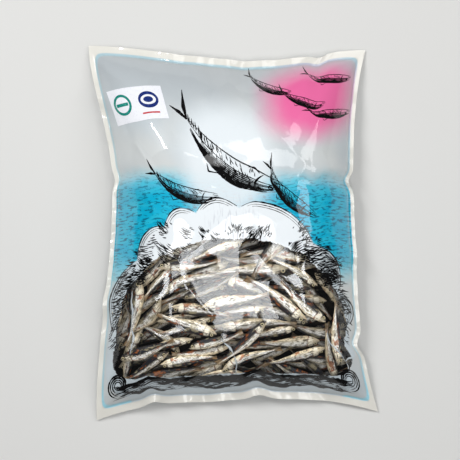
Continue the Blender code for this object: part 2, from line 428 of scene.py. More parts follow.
columns, rows = np.meshgrid(np.arange(PILE_CELLS[0]), np.arange(PILE_CELLS[1]), indexing="ij")
pile_x = PILE_LOW[0] + (columns + 0.5) * CELL
pile_y = PILE_LOW[1] + (rows + 0.5) * CELL
pile_across, pile_along = on_flat_film(pile_x, pile_y)
over_x, over_y = plan(pile_across, pile_along)
inside_bag = np.hypot(over_x - pile_x, over_y - pile_y) < 0.0005
inside_bag &= filling(pile_across, pile_along, *FRONT_ROLL) > 0.25
under_film = front_height(pile_across, pile_along) - FILM_GAP
on_table = back_height(pile_across, pile_along) + TABLE_GAP
room_below = np.where(inside_bag, under_film, -1.0)
heap_top = np.zeros_like(under_film)


def window_reach(across, along):
    """Below 1 inside the clear window, and above 1 outside it."""
    x = (across * HALF_WIDTH - WINDOW_MIDDLE) / WINDOW_HALF_WIDTH
    y = along * HALF_LENGTH - WINDOW_WAIST
    dome = np.sqrt(x**2 + (np.maximum(y, 0) / (WINDOW_TOP - WINDOW_WAIST)) ** 2)
    box = (np.abs(x) ** 6 + (np.abs(np.minimum(y, 0)) / (WINDOW_WAIST - WINDOW_BOTTOM)) ** 6) ** (1 / 6)
    return np.where(y > 0, dome, box)


pile_reach = window_reach(pile_across, pile_along)


def turned(turn, pitch, tip):
    """The rotation matrix of a fish: rolled by tip, then pitched, then turned on the table."""
    cx, sx, cy, sy, cz, sz = (f(a) for a in (tip, pitch, turn) for f in (math.cos, math.sin))
    about_x = np.array([[1, 0, 0], [0, cx, -sx], [0, sx, cx]])
    about_y = np.array([[cy, 0, sy], [0, 1, 0], [-sy, 0, cy]])
    about_z = np.array([[cz, -sz, 0], [sz, cz, 0], [0, 0, 1]])
    return about_z @ about_y @ about_x


def cells_of(points):
    """The pile's cells under some points, and which of the points are over the pile at all."""
    column = ((points[:, 0] - PILE_LOW[0]) / CELL).astype(int)
    row = ((points[:, 1] - PILE_LOW[1]) / CELL).astype(int)
    over = (column >= 0) & (column < PILE_CELLS[0]) & (row >= 0) & (row < PILE_CELLS[1])
    return column, row, over


def slope_along(x, y, direction, span):
    """Slope of the film above the pile, in the direction of a fish."""
    run_x, run_y = span * math.cos(direction), span * math.sin(direction)
    column, row, over = cells_of(np.array([[x - run_x, y - run_y], [x + run_x, y + run_y]]))
    if not over.all():
        return 0.0
    heights = under_film[column, row]
    return math.atan2(heights[1] - heights[0], 2 * span)


def lie_of_fish(draw, x, y):
    """The direction of a fish: mostly level, leaning with the dome above, upright at the sides."""
    lean = DOME_LEAN * x / WINDOW_HALF_WIDTH * float(smoothstep(DOME_FROM, DOME_FULL, y))
    if abs(x) > UPRIGHT_FROM and draw.random() < UPRIGHT_SHARE:
        lean = draw.choice((-1, 1)) * draw.uniform(*UPRIGHT_LEAN)
    return math.radians(draw.gauss(USUAL_LEAN + lean, LEAN_SPREAD)) + math.pi * draw.randrange(2)


def try_fish(draw, shapes, bare):
    """One way of laying a fish: how well it lies, its kind, how it lies, and the cells it covers."""
    kind = draw.randrange(len(shapes))
    column, row = bare[draw.randrange(len(bare))]
    turn = lie_of_fish(draw, pile_x[column, row], pile_y[column, row])
    shift = draw.uniform(-SHIFT, SHIFT)
    x = pile_x[column, row] + shift * math.cos(turn)
    y = pile_y[column, row] + shift * math.sin(turn)
    column, row, over = cells_of(np.array([[x, y]]))
    if not over[0] or pile_reach[column[0], row[0]] > LAID_REACH:
        return None
    under_middle = float(under_film[column[0], row[0]])
    tip = math.radians(draw.gauss(0.0, TIP_SPREAD)) + math.pi * draw.randrange(2)
    if draw.random() < TIPPED_SHARE:
        tip += math.radians(draw.choice((-TIPPED_BY, TIPPED_BY)))
    size = draw.uniform(SMALLEST, LARGEST)
    pitch = -slope_along(x, y, turn, LENGTH_SPAN) + math.radians(draw.gauss(0.0, PITCH_SPREAD))
    tip += slope_along(x, y, turn + math.pi / 2, HEIGHT_SPAN)
    body = shapes[kind] @ turned(turn, pitch, tip).T * size
    placed = body + (x, y, 0.0)
    column, row, over = cells_of(placed)
    if not over.all():
        return None
    height = float(np.min(room_below[column, row] - body[:, 2]))
    if np.min(height + body[:, 2] - on_table[column, row]) < 0:
        return None
    hidden = float(np.mean(heap_top[column, row] > height + body[:, 2]))
    depth = under_middle - height
    lie = ((x, y, height), (tip, pitch, turn), size, depth)
    return depth + HIDDEN_COST * hidden, kind, lie, placed[:, 2] + height, column, row


def lay_pile():
    """Lays the fish one after another, from the film downwards, first where the heap is bare."""
    draw = random.Random(PILE_SEED)
    shapes = [np.array([vertex.co for vertex in kind.data.vertices]) for kind in kinds]
    wanted = inside_bag & (pile_reach < COVERED_REACH)
    laid = [[] for _ in kinds]
    for _ in range(FISH_OFFERED):
        bare = np.argwhere(wanted & (heap_top == 0))
        if len(bare) < FEWEST_BARE_CELLS:
            bare = np.argwhere(wanted & (heap_top < under_film - THIN_PILE))
        if len(bare) < FEWEST_BARE_CELLS:
            bare = np.argwhere(wanted)
        tries = [found for found in (try_fish(draw, shapes, bare) for _ in range(TRIES)) if found]
        if not tries:
            continue
        _, kind, lie, heights, column, row = min(tries, key=lambda found: found[0])
        np.minimum.at(room_below, (column, row), heights + PRESSED_IN)
        np.maximum.at(heap_top, (column, row), heights)
        laid[kind].append(lie)
    return laid


def points_object(name, laid):
    """Loose points that carry the turn, size and depth of each fish."""
    places, turns, sizes, depths = zip(*laid)
    made = new_object(name, places)
    carried = made.data.attributes
    carried.new("turns", "FLOAT_VECTOR", "POINT").data.foreach_set("vector", np.array(turns).reshape(-1))
    carried.new("size", "FLOAT", "POINT").data.foreach_set("value", sizes)
    carried.new("depth", "FLOAT", "POINT").data.foreach_set("value", depths)
    return made


class Wire:
    """What a node gives out. Sums of wires and numbers add sum nodes to the same tree."""

    def __init__(self, socket):
        self.socket = socket
        self.tree = socket.id_data

    def into(self, socket):
        """Links it to an input."""
        self.tree.links.new(self.socket, socket)

    def __add__(self, other):
        return sum_node("ADD", self, other)

    def __sub__(self, other):
        return sum_node("SUBTRACT", self, other)

    def __rsub__(self, other):
        return sum_node("SUBTRACT", other, self)

    def __mul__(self, other):
        return sum_node("MULTIPLY", self, other)

    def __truediv__(self, other):
        return sum_node("DIVIDE", self, other)

    def __rtruediv__(self, other):
        return sum_node("DIVIDE", other, self)

    def __pow__(self, other):
        return sum_node("POWER", self, other)

    def __abs__(self):
        return sum_node("ABSOLUTE", self)

    __radd__ = __add__


def add_node(tree, kind, inputs, **settings):
    """Adds a node with its settings and its inputs."""
    made = tree.nodes.new(kind)
    for setting, value in settings.items():
        setattr(made, setting, value)
    fill(made, inputs)
    return made


def fill(node, inputs):
    """Fills the inputs of a node, by name or number, from values or wires."""
    for name, value in inputs.items():
        if isinstance(value, Wire):
            value.into(node.inputs[name])
        else:
            node.inputs[name].default_value = value


def wire(tree, kind, inputs=None, out=0, **settings):
    """Adds a node, and returns what it gives out."""
    return Wire(add_node(tree, kind, inputs or {}, **settings).outputs[out])


def tree_of(*values):
    """The tree that the first wire among some values belongs to."""
    return next(value.tree for value in values if isinstance(value, Wire))


def sum_node(operation, one, other=0.0, clamp=False):
    """One sum of two numbers."""
    inputs = {0: one, 1: other}
    return wire(tree_of(one, other), "ShaderNodeMath", inputs, operation=operation, use_clamp=clamp)


def new_tree(name, kind, sockets, result, result_kind):
    """An empty tree with named inputs and one result: the tree, and the wires of its inputs."""
    tree = bpy.data.node_groups.new(name, kind)
    for socket, socket_kind in sockets:
        tree.interface.new_socket(socket, in_out="INPUT", socket_type="NodeSocket" + socket_kind)
    tree.interface.new_socket(result, in_out="OUTPUT", socket_type="NodeSocket" + result_kind)
    given = tree.nodes.new("NodeGroupInput").outputs
    return tree, [Wire(given[socket]) for socket, _ in sockets]


def give(value, result):
    """Ends a tree: the value is its result."""
    value.into(value.tree.nodes.new("NodeGroupOutput").inputs[result])


def carried_by(tree, name, kind="FLOAT"):
    """A value that the mesh carries, inside a geometry tree."""
    return wire(tree, "GeometryNodeInputNamedAttribute", {"Name": name}, "Attribute", data_type=kind)


def stored(geometry, name, value, kind, domain):
    """The geometry with a value stored on it under a name."""
    inputs = {"Geometry": geometry, "Name": name}
    made = add_node(geometry.tree, "GeometryNodeStoreNamedAttribute", inputs, data_type=kind, domain=domain)
    value.into(next(socket for socket in made.inputs if socket.name == "Value" and socket.enabled))
    return Wire(made.outputs[0])


def made_solid(geometry, finish, result):
    """Ends a geometry tree: instances become real, and take their material."""
    real = wire(geometry.tree, "GeometryNodeRealizeInstances", {0: geometry})
    dressed = wire(geometry.tree, "GeometryNodeSetMaterial", {"Geometry": real, "Material": finish})
    give(dressed, result)


def lay_fish_tree():
    """Puts a fish on every point, turned and sized as the point says, each with its own tint."""
    sockets = (("Places", "Geometry"), ("Fish", "Object"), ("Skin", "Material"), ("Seed", "Int"))
    tree, (places, fish, skin, seed) = new_tree("lay_fish", "GeometryNodeTree", sockets, "Pile", "Geometry")
    turns = carried_by(tree, "turns", "FLOAT_VECTOR")
    lying = {
        "Points": places,
        "Instance": wire(tree, "GeometryNodeObjectInfo", {"Object": fish}, "Geometry"),
        "Rotation": wire(tree, "FunctionNodeEulerToRotation", {0: turns}),
        "Scale": carried_by(tree, "size"),
    }
    laid = wire(tree, "GeometryNodeInstanceOnPoints", lying)
    chance = add_node(tree, "FunctionNodeRandomValue", {"Seed": seed}, data_type="FLOAT")
    tint = Wire(next(socket for socket in chance.outputs if socket.enabled))
    tinted = stored(laid, "tint", tint, "FLOAT", "INSTANCE")
    # The depth of each fish is kept for the painted shade that darkens deeper fish in the skin
    sunk = stored(tinted, "depth", carried_by(tree, "depth"), "FLOAT", "INSTANCE")
    made_solid(sunk, skin, "Pile")
    return tree


def made_real(points, tree, values):
    """Runs a geometry tree on an object, and returns a plain mesh object in its place."""
    grown = points.modifiers.new(tree.name, "NODES")
    grown.node_group = tree
    for socket in tree.interface.items_tree:
        if socket.in_out == "INPUT" and socket.name in values:
            grown[socket.identifier] = values[socket.name]
    evaluated = points.evaluated_get(bpy.context.evaluated_depsgraph_get())
    mesh = bpy.data.meshes.new_from_object(evaluated)
    name = points.name
    bpy.data.objects.remove(points)
    mesh.name = name
    return in_scene(name, mesh)


def srgb(red, green, blue):
    """A colour as a paint chart gives it, 0 to 255, turned into light."""
    channels = [value / 255 for value in (red, green, blue)]
    light = [c / 12.92 if c <= 0.04045 else ((c + 0.055) / 1.055) ** 2.4 for c in channels]
    return (*light, 1.0)


def mix(share, one, other, blend_type="MIX"):
    """One colour turning into another by a share."""
    inputs = {0: share, 6: one, 7: other}
    tree = tree_of(share, one, other)
    return wire(tree, "ShaderNodeMix", inputs, 2, data_type="RGBA", blend_type=blend_type)


def layered(ground, layers):
    """A ground colour with other colours laid over it in turn: (share, colour)."""
    for share, colour in layers:
        ground = mix(share, ground, colour)
    return ground


def between(value, low, high, to_low=0.0, to_high=1.0):
    """A soft step from to_low to to_high as the value goes from low to high."""
    inputs = {"Value": value, "From Min": low, "From Max": high, "To Min": to_low, "To Max": to_high}
    return wire(value.tree, "ShaderNodeMapRange", inputs, "Result", interpolation_type="SMOOTHSTEP")


def speckle(place, scale, detail=3.0, roughness=0.55):
    """Even noise, 0 to 1, at a place."""
    inputs = {"Vector": place, "Scale": scale, "Detail": detail, "Roughness": roughness}
    return wire(place.tree, "ShaderNodeTexNoise", inputs, "Fac")


def combine(x, y, z):
    """Three numbers as one place."""
    return wire(tree_of(x, y, z), "ShaderNodeCombineXYZ", {0: x, 1: y, 2: z})


def attribute_of(tree, name, out="Fac"):
    """A value that the mesh carries, inside a material."""
    return wire(tree, "ShaderNodeAttribute", out=out, attribute_name=name)


def object_place(tree):
    """Where the shaded point is, in metres."""
    return wire(tree, "ShaderNodeTexCoord", out="Object")


def new_material(name):
    """An empty Principled material: its tree and its shader."""
    material = bpy.data.materials.new(name)
    material.use_nodes = True
    return material, material.node_tree, material.node_tree.nodes["Principled BSDF"]


def dried_skin():
    """Skin of a dried anchovy: slate back, silver flank gone cream, amber stains, painted shade in its
    creases and on deeper fish.
    """
    material, tree, finish = new_material("dried_skin")
    names = ("lengthways", "backness", "mark", "tint", "depth")
    lengthways, backness, mark, tint, depth = (attribute_of(tree, name) for name in names)
    streaks = speckle(combine(lengthways * 7.0, backness * 3.2, tint * 40.0), 1.6, 5.0, 0.65)
    blotches = speckle(combine(lengthways * 6.0, backness * 1.2, tint * 40.0), 1.1, 3.0, 0.6)
    grain = speckle(object_place(tree), 900.0, 3.0, 0.6)
    uneven = (streaks - 0.5) * 1.5
    line = backness + uneven + (tint - 0.5) * 0.5
    silver = mix(between(grain, 0.3, 0.7), srgb(252, 251, 246), srgb(194, 191, 182))
    flank = mix(between(line, -0.95, -0.15), srgb(214, 198, 166), silver)
    head_tone = mix(between(line, -0.25, 0.40), srgb(194, 180, 152), srgb(36, 33, 32))
    plate = between(lengthways, 0.11, 0.14) * between(lengthways, 0.215, 0.20)
    plate = plate * between(backness, 0.75, 0.35) * between(streaks, 0.40, 0.56, 0.1, 0.85)
    gill = lengthways + backness**2.0 * 0.03 + uneven * 0.03
    slit = between(abs(gill - 0.222), 0.016, 0.003) * between(blotches, 0.38, 0.56, 0.10, 0.85)
    slit_tone = mix(between(blotches, 0.45, 0.62), srgb(34, 24, 16), srgb(128, 62, 24))
    layers = (
        (between(line, 0.02, 0.26), srgb(108, 103, 92)),
        (between(line, 0.19, 0.42), srgb(15, 19, 27)),
        (between(blotches, 0.47, 0.36) * 0.75, srgb(150, 140, 112)),
        (between(blotches, 0.56, 0.66) * 0.85, srgb(146, 80, 28)),
        (between(lengthways, 0.235, 0.185) * 0.85, head_tone),
        (plate, srgb(232, 224, 204)),
        (slit, slit_tone),
        # Painted shade in the creases of the skin, darkest where the bump is lowest
        (between(streaks, 0.49, 0.39) * 0.88, srgb(34, 26, 18)),
        (between(lengthways, 0.87, 0.95) * 0.8, srgb(112, 90, 60)),
        (between(mark, 0.25, 0.45), srgb(196, 184, 146)),
        (between(mark, 0.60, 0.80), srgb(22, 19, 18)),
    )
    # Each fish's random tint lightens its skin by its own amount, and painted shade darkens the fish that
    # lie deeper under the film
    tint_and_depth_shade = between(tint, 0.0, 1.0, 0.96, 1.80) * between(depth, 0.010, 0.026, 1.0, 0.55)
    skin_with_painted_shade = mix(1.0, layered(flank, layers), combine(tint_and_depth_shade, tint_and_depth_shade, tint_and_depth_shade), "MULTIPLY")
    relief = {"Height": streaks + grain * 0.25, "Strength": 0.7, "Distance": 0.0012}
    looks = {
        "Base Color": skin_with_painted_shade,
        "Metallic": between(line, 0.5, -0.1) * between(streaks, 0.40, 0.55) * 0.28,
        "Roughness": between(streaks, 0.3, 0.7, 0.52, 0.27) * between(mark, 0.6, 0.8, 1.0, 0.3),
        "Normal": wire(tree, "ShaderNodeBump", relief),
    }
    fill(finish, looks)
    return material


skin = dried_skin()
fish_tree = lay_fish_tree()
for number, (kind, laid) in enumerate(zip(kinds, lay_pile())):
    places = points_object(kind.name + "_pile", laid)
    pile = made_real(places, fish_tree, {"Fish": kind, "Skin": skin, "Seed": number})
    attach(pile, "root")
for kind in kinds:
    bpy.data.objects.remove(kind)


# The rest of the heap. Deeper fish are only seen as darkness between the top ones, so one uneven
# dark mass of them fills the bag under the pile and carries the film where the print hides it.

HEAP_LINES = (90, 120)
HEAP_REACH = 0.90
HEAP_ABOVE_TABLE = 0.0015
LUMP_HEIGHT = 0.002
THINNEST_HEAP = 0.0006

# How far its top lies below the front film: at the rim, more where the bag is full, more in the window
SUNK, SUNK_WHERE_FULL, SUNK_IN_WINDOW = 0.006, 0.007, 0.018


def sheet_grid(columns, rows, reach=1.0, crowding=0.22):
    """The film coordinates of a grid, its lines drawn together towards the rim."""
    across = np.linspace(-1.0, 1.0, columns)
    along = np.linspace(-1.0, 1.0, rows)
    across, along = (line + crowding * np.sin(line * math.pi) / math.pi for line in (across, along))
    return np.meshgrid(across * reach, along * reach, indexing="ij")


def grid_mesh(name, points, uv=None, upwards=True):
    """A sheet from a grid of points, with the flat film as its UV map if it has one."""
    columns, rows = points.shape[:2]
    numbers = np.arange(columns * rows).reshape(columns, rows)
    corners = [numbers[:-1, :-1], numbers[1:, :-1], numbers[1:, 1:], numbers[:-1, 1:]]
    quads = np.stack(corners if upwards else corners[::-1], axis=-1).reshape(-1, 4)
    made = new_object(name, points.reshape(-1, 3), quads.tolist())
    if uv is not None:
        layer = made.data.uv_layers.new(name="film")
        layer.data.foreach_set("uv", uv.reshape(-1, 2)[quads.reshape(-1)].reshape(-1))
    made.data.shade_smooth()
    return made


def dark_heap():
    """The mass of fish under the pile, as one closed lumpy solid."""
    across, along = sheet_grid(*HEAP_LINES, HEAP_REACH, 0.0)
    x, y = plan(across, along)
    lumps = np.sin(x * 95 + 3 * np.sin(y * 60)) * np.sin(y * 420 + 4 * np.sin(x * 40))
    bottom = back_height(across, along) + HEAP_ABOVE_TABLE
    in_window = smoothstep(1.25, 1.0, window_reach(across, along))
    sunk = SUNK + SUNK_WHERE_FULL * filling(across, along, *FRONT_ROLL) + SUNK_IN_WINDOW * in_window
    top = front_height(across, along) - sunk + LUMP_HEIGHT * lumps
    top = np.maximum(top, bottom + THINNEST_HEAP)
    shape = grid_mesh("dark_heap", np.stack([x, y, top], axis=-1))
    under = grid_mesh("dark_heap_underside", np.stack([x, y, bottom], axis=-1), upwards=False)
    mass = bmesh.new()
    mass.from_mesh(shape.data)
    mass.from_mesh(under.data)
    bmesh.ops.bridge_loops(mass, edges=[edge for edge in mass.edges if edge.is_boundary])
    bmesh.ops.recalc_face_normals(mass, faces=mass.faces)
    mass.to_mesh(shape.data)
    mass.free()
    shape.data.shade_smooth()
    bpy.data.objects.remove(under)
    return shape


def stretched(place, scale):
    """A place drawn together by a scale each way, so that what is laid on it is drawn out."""
    return wire(place.tree, "ShaderNodeMapping", {"Vector": place, "Scale": scale})


def fish_in_shadow():
    """Fish that no light reaches: near black, with faint bodies in it."""
    material, tree, finish = new_material("fish_in_shadow")
    bodies = speckle(stretched(object_place(tree), (30.0, 160.0, 60.0)), 1.0, 4.0)
    tone = mix(between(bodies, 0.45, 0.75), srgb(5, 4, 4), srgb(40, 34, 27))
    fill(finish, {"Base Color": tone, "Roughness": 0.9, "Specular IOR Level": 0.1})
    return material


heap = dark_heap()
heap.data.materials.append(fish_in_shadow())
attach(heap, "root")


# The front film. A sheet of glossy printed film, let down over the heap and drawn tight from the
# seal, so that it spans from fish to fish and buckles where it has length to spare. It is clear in
# the window, milky round the rim, printed with pearl inks elsewhere, and has painted white glints
# along its worst creases.

FILM_COLUMNS = 241
FILM_ROWS = 321
SPARE_LENGTH = 0.004
SPARE_IN_WINDOW = 0.006
DRIFT_KEPT = 0.90
LIFT_A_ROUND = 0.000004
STRETCH_TAKEN_UP = 0.95

# How uneven the film lies at first, how far it may sag, everywhere and more in the window, and rise
UNREST = 0.0015
SAG, SAG_IN_WINDOW, RISE = 0.0012, 0.0030, 0.0050

# How much of a squash is taken up a round: neighbours, across a mesh, and two or four lines apart
SQUASH = 0.9
SQUASH_ACROSS = 0.35
SQUASH_FURTHER = ((2, 0.22), (4, 0.10))

# The grids that the film settles on, coarse to fine: (lines to one, rounds), and the last ironing
SETTLING = ((4, 260), (2, 160), (1, 110))
IRONINGS = 14

# Sharp creases in the taut film: (ends on the flat film in metres, half-width, height)
CREASES = (
    ((-0.121, 0.094), (-0.105, 0.067), 0.0035, 0.0011),
    ((-0.120, 0.049), (-0.100, 0.015), 0.0040, 0.0012),
    ((-0.126, -0.131), (-0.077, -0.125), 0.0035, 0.0012),
    ((-0.007, -0.130), (0.004, -0.150), 0.0028, 0.0013),
    ((0.004, -0.150), (0.002, -0.174), 0.0028, 0.0013),
    ((-0.120, -0.070), (-0.118, -0.105), 0.0028, 0.0015),
    ((-0.118, -0.105), (-0.116, -0.142), 0.0028, 0.0015),
    ((0.117, -0.122), (0.133, -0.154), 0.0030, 0.0015),
    ((0.133, -0.154), (0.142, -0.198), 0.0030, 0.0015),
    ((0.133, -0.154), (0.151, -0.146), 0.0030, 0.0014),
    ((0.133, -0.154), (0.108, -0.168), 0.0030, 0.0012),
    ((-0.030, -0.168), (-0.058, -0.186), 0.0026, 0.0010),
    ((0.016, 0.160), (0.093, 0.075), 0.0060, 0.0012),
    ((0.093, 0.075), (0.072, 0.020), 0.0050, 0.0009),
    ((-0.060, -0.060), (-0.022, -0.100), 0.0040, 0.0010),
    ((0.030, -0.030), (0.078, -0.076), 0.0040, 0.0010),
)

# Creases at least this high carry a painted white glint, in a line this wide for its height
GLINT_HEIGHT = 0.00125
GLINT_WIDTH = 1.1

# The printed foam round the window: a wide dome with uneven lobes, on the flat film in metres
FOAM_MIDDLE = (-0.002, -0.115)
FOAM_REACH = (0.144, 0.141)
FOAM_LOBES = 7
FOAM_LOBE_DEPTH = 0.085
FOAM_UNEVEN = 0.16

# The print ends beside the rim: (bare width at the sides, at the ends, softness), for the border
# line's outer and inner edges
PRINT_MIDDLE = (0.0006, 0.0004)
PRINT_EDGES = ((0.0052, 0.0082, 0.003), (0.0078, 0.0118, 0.006))
RIM_TONE = (236, 234, 226)
PRINT_ROUGHNESS = 0.34
FACET_TILT = 0.13


def heap_height(x, y):
    """Height of the topmost fish at a place, or 0 where there is none."""
    column = np.clip((x - PILE_LOW[0]) / CELL - 0.5, 0, PILE_CELLS[0] - 1.001)
    row = np.clip((y - PILE_LOW[1]) / CELL - 0.5, 0, PILE_CELLS[1] - 1.001)
    c, r = column.astype(int), row.astype(int)
    fc, fr = column - c, row - r
    low = (1 - fc) * heap_top[c, r] + fc * heap_top[c + 1, r]
    high = (1 - fc) * heap_top[c, r + 1] + fc * heap_top[c + 1, r + 1]
    return np.where(y < PILE_LOW[1] + PILE_CELLS[1] * CELL, (1 - fr) * low + fr * high, 0.0)


def pull_together(points, start, end, length, squash, free):
    """Draws pairs of film points towards their own distance on the flat film."""
    gap = points[end] - points[start]
    now = np.sqrt((gap**2).sum(axis=-1)) + 1e-9
    off = (now - length) / now
    share = np.where(off > 0, STRETCH_TAKEN_UP, squash) * off
    weight = free[start] + free[end]
    move = gap * (share / np.maximum(weight, 1e-6))[..., None]
    points[start] += move * free[start][..., None]
    points[end] -= move * free[end][..., None]


def pairs(lines, odd):
    """Every second gap between lines next to each other: the lines before it, and after it."""
    count = (lines - odd) // 2
    return slice(odd, odd + 2 * count, 2), slice(odd + 1, odd + 1 + 2 * count, 2)


def film_links(columns, rows):
    """Every run of film between neighbours, in groups that share no point: (start, end, squash)."""
    everything, all_but_last, all_but_first = slice(None), slice(None, -1), slice(1, None)
    found = []
    for odd in (0, 1):
        left, right = pairs(columns, odd)
        lower, upper = pairs(rows, odd)
        found.append(((left, everything), (right, everything), SQUASH))
        found.append(((everything, lower), (everything, upper), SQUASH))
        found.append(((all_but_last, lower), (all_but_first, upper), SQUASH_ACROSS))
        found.append(((all_but_first, lower), (all_but_last, upper), SQUASH_ACROSS))
    for skip, squash in SQUASH_FURTHER:
        for first in range(2 * skip):
            if first + skip < columns:
                starts = np.arange(first, columns - skip, 2 * skip)
                found.append(((starts, everything), (starts + skip, everything), squash))
            if first + skip < rows:
                starts = np.arange(first, rows - skip, 2 * skip)
                found.append(((everything, starts), (everything, starts + skip), squash))
    return found


def relax(points, links, lengths, free, lowest, highest, rounds):
    """The settling itself: drift on, keep the lengths, stay above the fish."""
    before = points.copy()
    for _ in range(rounds):
        drift = (points - before) * DRIFT_KEPT
        before = points.copy()
        points = points + drift * free[..., None]
        points[..., 2] += free * LIFT_A_ROUND
        for (start, end, squash), length in zip(links, lengths):
            pull_together(points, start, end, length, squash, free)
        floor = np.maximum(lowest, heap_height(points[..., 0], points[..., 1]) + FILM_GAP)
        held = np.clip(points[..., 2], floor, np.maximum(highest, floor))
        points[..., 2] = np.where(free > 0, held, points[..., 2])
    return points


def creases(x, y):
    """How far the sharp creases stand up from the film at a place on the flat film."""
    total = np.zeros_like(x)
    for (from_x, from_y), (to_x, to_y), half_width, height in CREASES:
        run_x, run_y = to_x - from_x, to_y - from_y
        share = ((x - from_x) * run_x + (y - from_y) * run_y) / (run_x**2 + run_y**2)
        share = np.clip(share, 0.0, 1.0)
        distance = np.hypot(x - from_x - share * run_x, y - from_y - share * run_y)
        total = np.maximum(total, height * np.exp(-distance / half_width))
    return total


def link_length(start, spare, one, other):
    """The length of film between the two ends of some links, with what it has to spare."""
    gap = start[other] - start[one]
    return np.sqrt((gap**2).sum(axis=-1)) * (1 + (spare[one] + spare[other]) / 2)


def unrest(x, y):
    """The uneven lie of the film before it settles, -1 to 1."""
    return noise.noise(Vector((x * 30, y * 30, 4.2)))


def front_film_points():
    """The settled front film, worked out on a coarse grid first and then on finer ones."""
    settled, coarser = None, None
    for thinning, rounds in SETTLING:
        columns, rows = (FILM_COLUMNS - 1) // thinning + 1, (FILM_ROWS - 1) // thinning + 1
        across, along = sheet_grid(columns, rows)
        x, y = plan(across, along)
        start = np.stack([x, y, front_height(across, along)], axis=-1)
        to_side = (1 - np.abs(across)) * HALF_WIDTH - SIDE_SEAL
        to_rim = np.minimum(to_side, (1 - np.abs(along)) * HALF_LENGTH - END_SEAL)
        free = (to_rim > 0).astype(float)
        in_window = smoothstep(1.05, 0.90, window_reach(across, along))
        spare = SPARE_LENGTH + (SPARE_IN_WINDOW - SPARE_LENGTH) * in_window
        links = film_links(columns, rows)
        lengths = [link_length(start, spare, one, other) for one, other, _ in links]
        points = start.copy()
        if settled is None:
            off_rim = 1 - np.exp(-np.maximum(to_rim, 0) / 0.01)
            points[..., 2] += free * UNREST * np.vectorize(unrest)(x, y) * off_rim
        else:
            points += finer(settled - coarser)
        lowest = start[..., 2] - SAG - SAG_IN_WINDOW * in_window
        highest = start[..., 2] + RISE
        points = relax(points, links, lengths, free, lowest, highest, rounds)
        settled, coarser = points, start
    settled = coarser + ironed(settled - coarser, free[..., None], IRONINGS)
    settled[..., 2] += free * creases(across * HALF_WIDTH, along * HALF_LENGTH)
    return settled, across, along


def ironed(values, free, rounds):
    """Values on a grid with the small steps between neighbouring points evened out."""
    for _ in range(rounds):
        mean = values.copy()
        mean[1:-1] = (values[:-2] + 2 * values[1:-1] + values[2:]) / 4
        level = mean.copy()
        level[:, 1:-1] = (mean[:, :-2] + 2 * mean[:, 1:-1] + mean[:, 2:]) / 4
        values = np.where(free > 0, level, values)
    return values


def closed_over(height):
    """The heap's top with the gaps between its measured points closed, then evened out."""
    wide = np.pad(height, 1)
    columns, rows = height.shape
    beside = [wide[a : a + columns, b : b + rows] for a in (0, 1, 2) for b in (0, 1, 2)]
    return ironed(np.max(beside, axis=0), np.ones_like(height), 2)


def finer(values):
    """Values on a grid with twice as many lines each way."""
    columns, rows = values.shape[:2]
    wide = np.zeros((2 * columns - 1, rows) + values.shape[2:])
    wide[::2] = values
    wide[1::2] = (values[:-1] + values[1:]) / 2
    full = np.zeros((2 * columns - 1, 2 * rows - 1) + values.shape[2:])
    full[:, ::2] = wide
    full[:, 1::2] = (wide[:, :-1] + wide[:, 1:]) / 2
    return full


def film_uv(across, along):
    """The flat film from 0 to 1 each way."""
    return np.stack([(across + 1) / 2, (along + 1) / 2], axis=-1)


def shader_group(name, sockets, result="Mask", kind="Float"):
    """An empty shader group with named inputs and one result."""
    return new_tree(name, "ShaderNodeTree", sockets, result, kind)


def vector_sum(operation, one, other, out=0):
    """One sum of two places, or of a place and the number that scales it."""
    inputs = {0: one, "Scale" if operation == "SCALE" else 1: other}
    return wire(tree_of(one, other), "ShaderNodeVectorMath", inputs, out, operation=operation)


def across_and_along(place):
    """The two coordinates of a place on the flat film."""
    parts = add_node(place.tree, "ShaderNodeSeparateXYZ", {0: place}).outputs
    return Wire(parts[0]), Wire(parts[1])


def soft_patch_group():
    """A field of ink on the flat film: round or square, its edge soft or crisp, even or ragged."""
    sockets = [(name, "Vector") for name in ("Place", "Middle", "Reach")]
    sockets += [(name, "Float") for name in ("Squareness", "Softness", "Raggedness", "Grain")]
    tree, given = shader_group("soft_patch", sockets)
    place, middle, reach, squareness, softness, raggedness, grain = given
    share = vector_sum("DIVIDE", vector_sum("SUBTRACT", place, middle), reach)
    size = wire(tree, "ShaderNodeVectorMath", {0: share}, operation="ABSOLUTE")
    x, y = across_and_along(size)
    out = (x**squareness + y**squareness) ** (1.0 / squareness)
    out += (speckle(place, grain, 4.0, 0.6) - 0.5) * raggedness
    give(between(out, 1.0 + softness, 1.0 - softness), "Mask")
    return tree


def window_shape_group():
    """The clear window on the flat film: a dome above its waist, a box with round corners below."""
    tree, (place, raggedness) = shader_group("window_shape", (("Place", "Vector"), ("Raggedness", "Float")))
    x, y = across_and_along(place)
    x = abs((x - WINDOW_MIDDLE) / WINDOW_HALF_WIDTH)
    y = y - WINDOW_WAIST
    up = sum_node("MAXIMUM", y / (WINDOW_TOP - WINDOW_WAIST), 0.0)
    down = sum_node("MAXIMUM", y / (WINDOW_BOTTOM - WINDOW_WAIST), 0.0)
    dome = (x**2.0 + up**2.0) ** (1 / 2)
    box = (x**6.0 + down**6.0) ** (1 / 6)
    uneven = (speckle(place, 38.0, 4.0, 0.65) - 0.5) * raggedness
    give(between(sum_node("MAXIMUM", dome, box) + uneven, 1.006, 0.994), "Mask")
    return tree


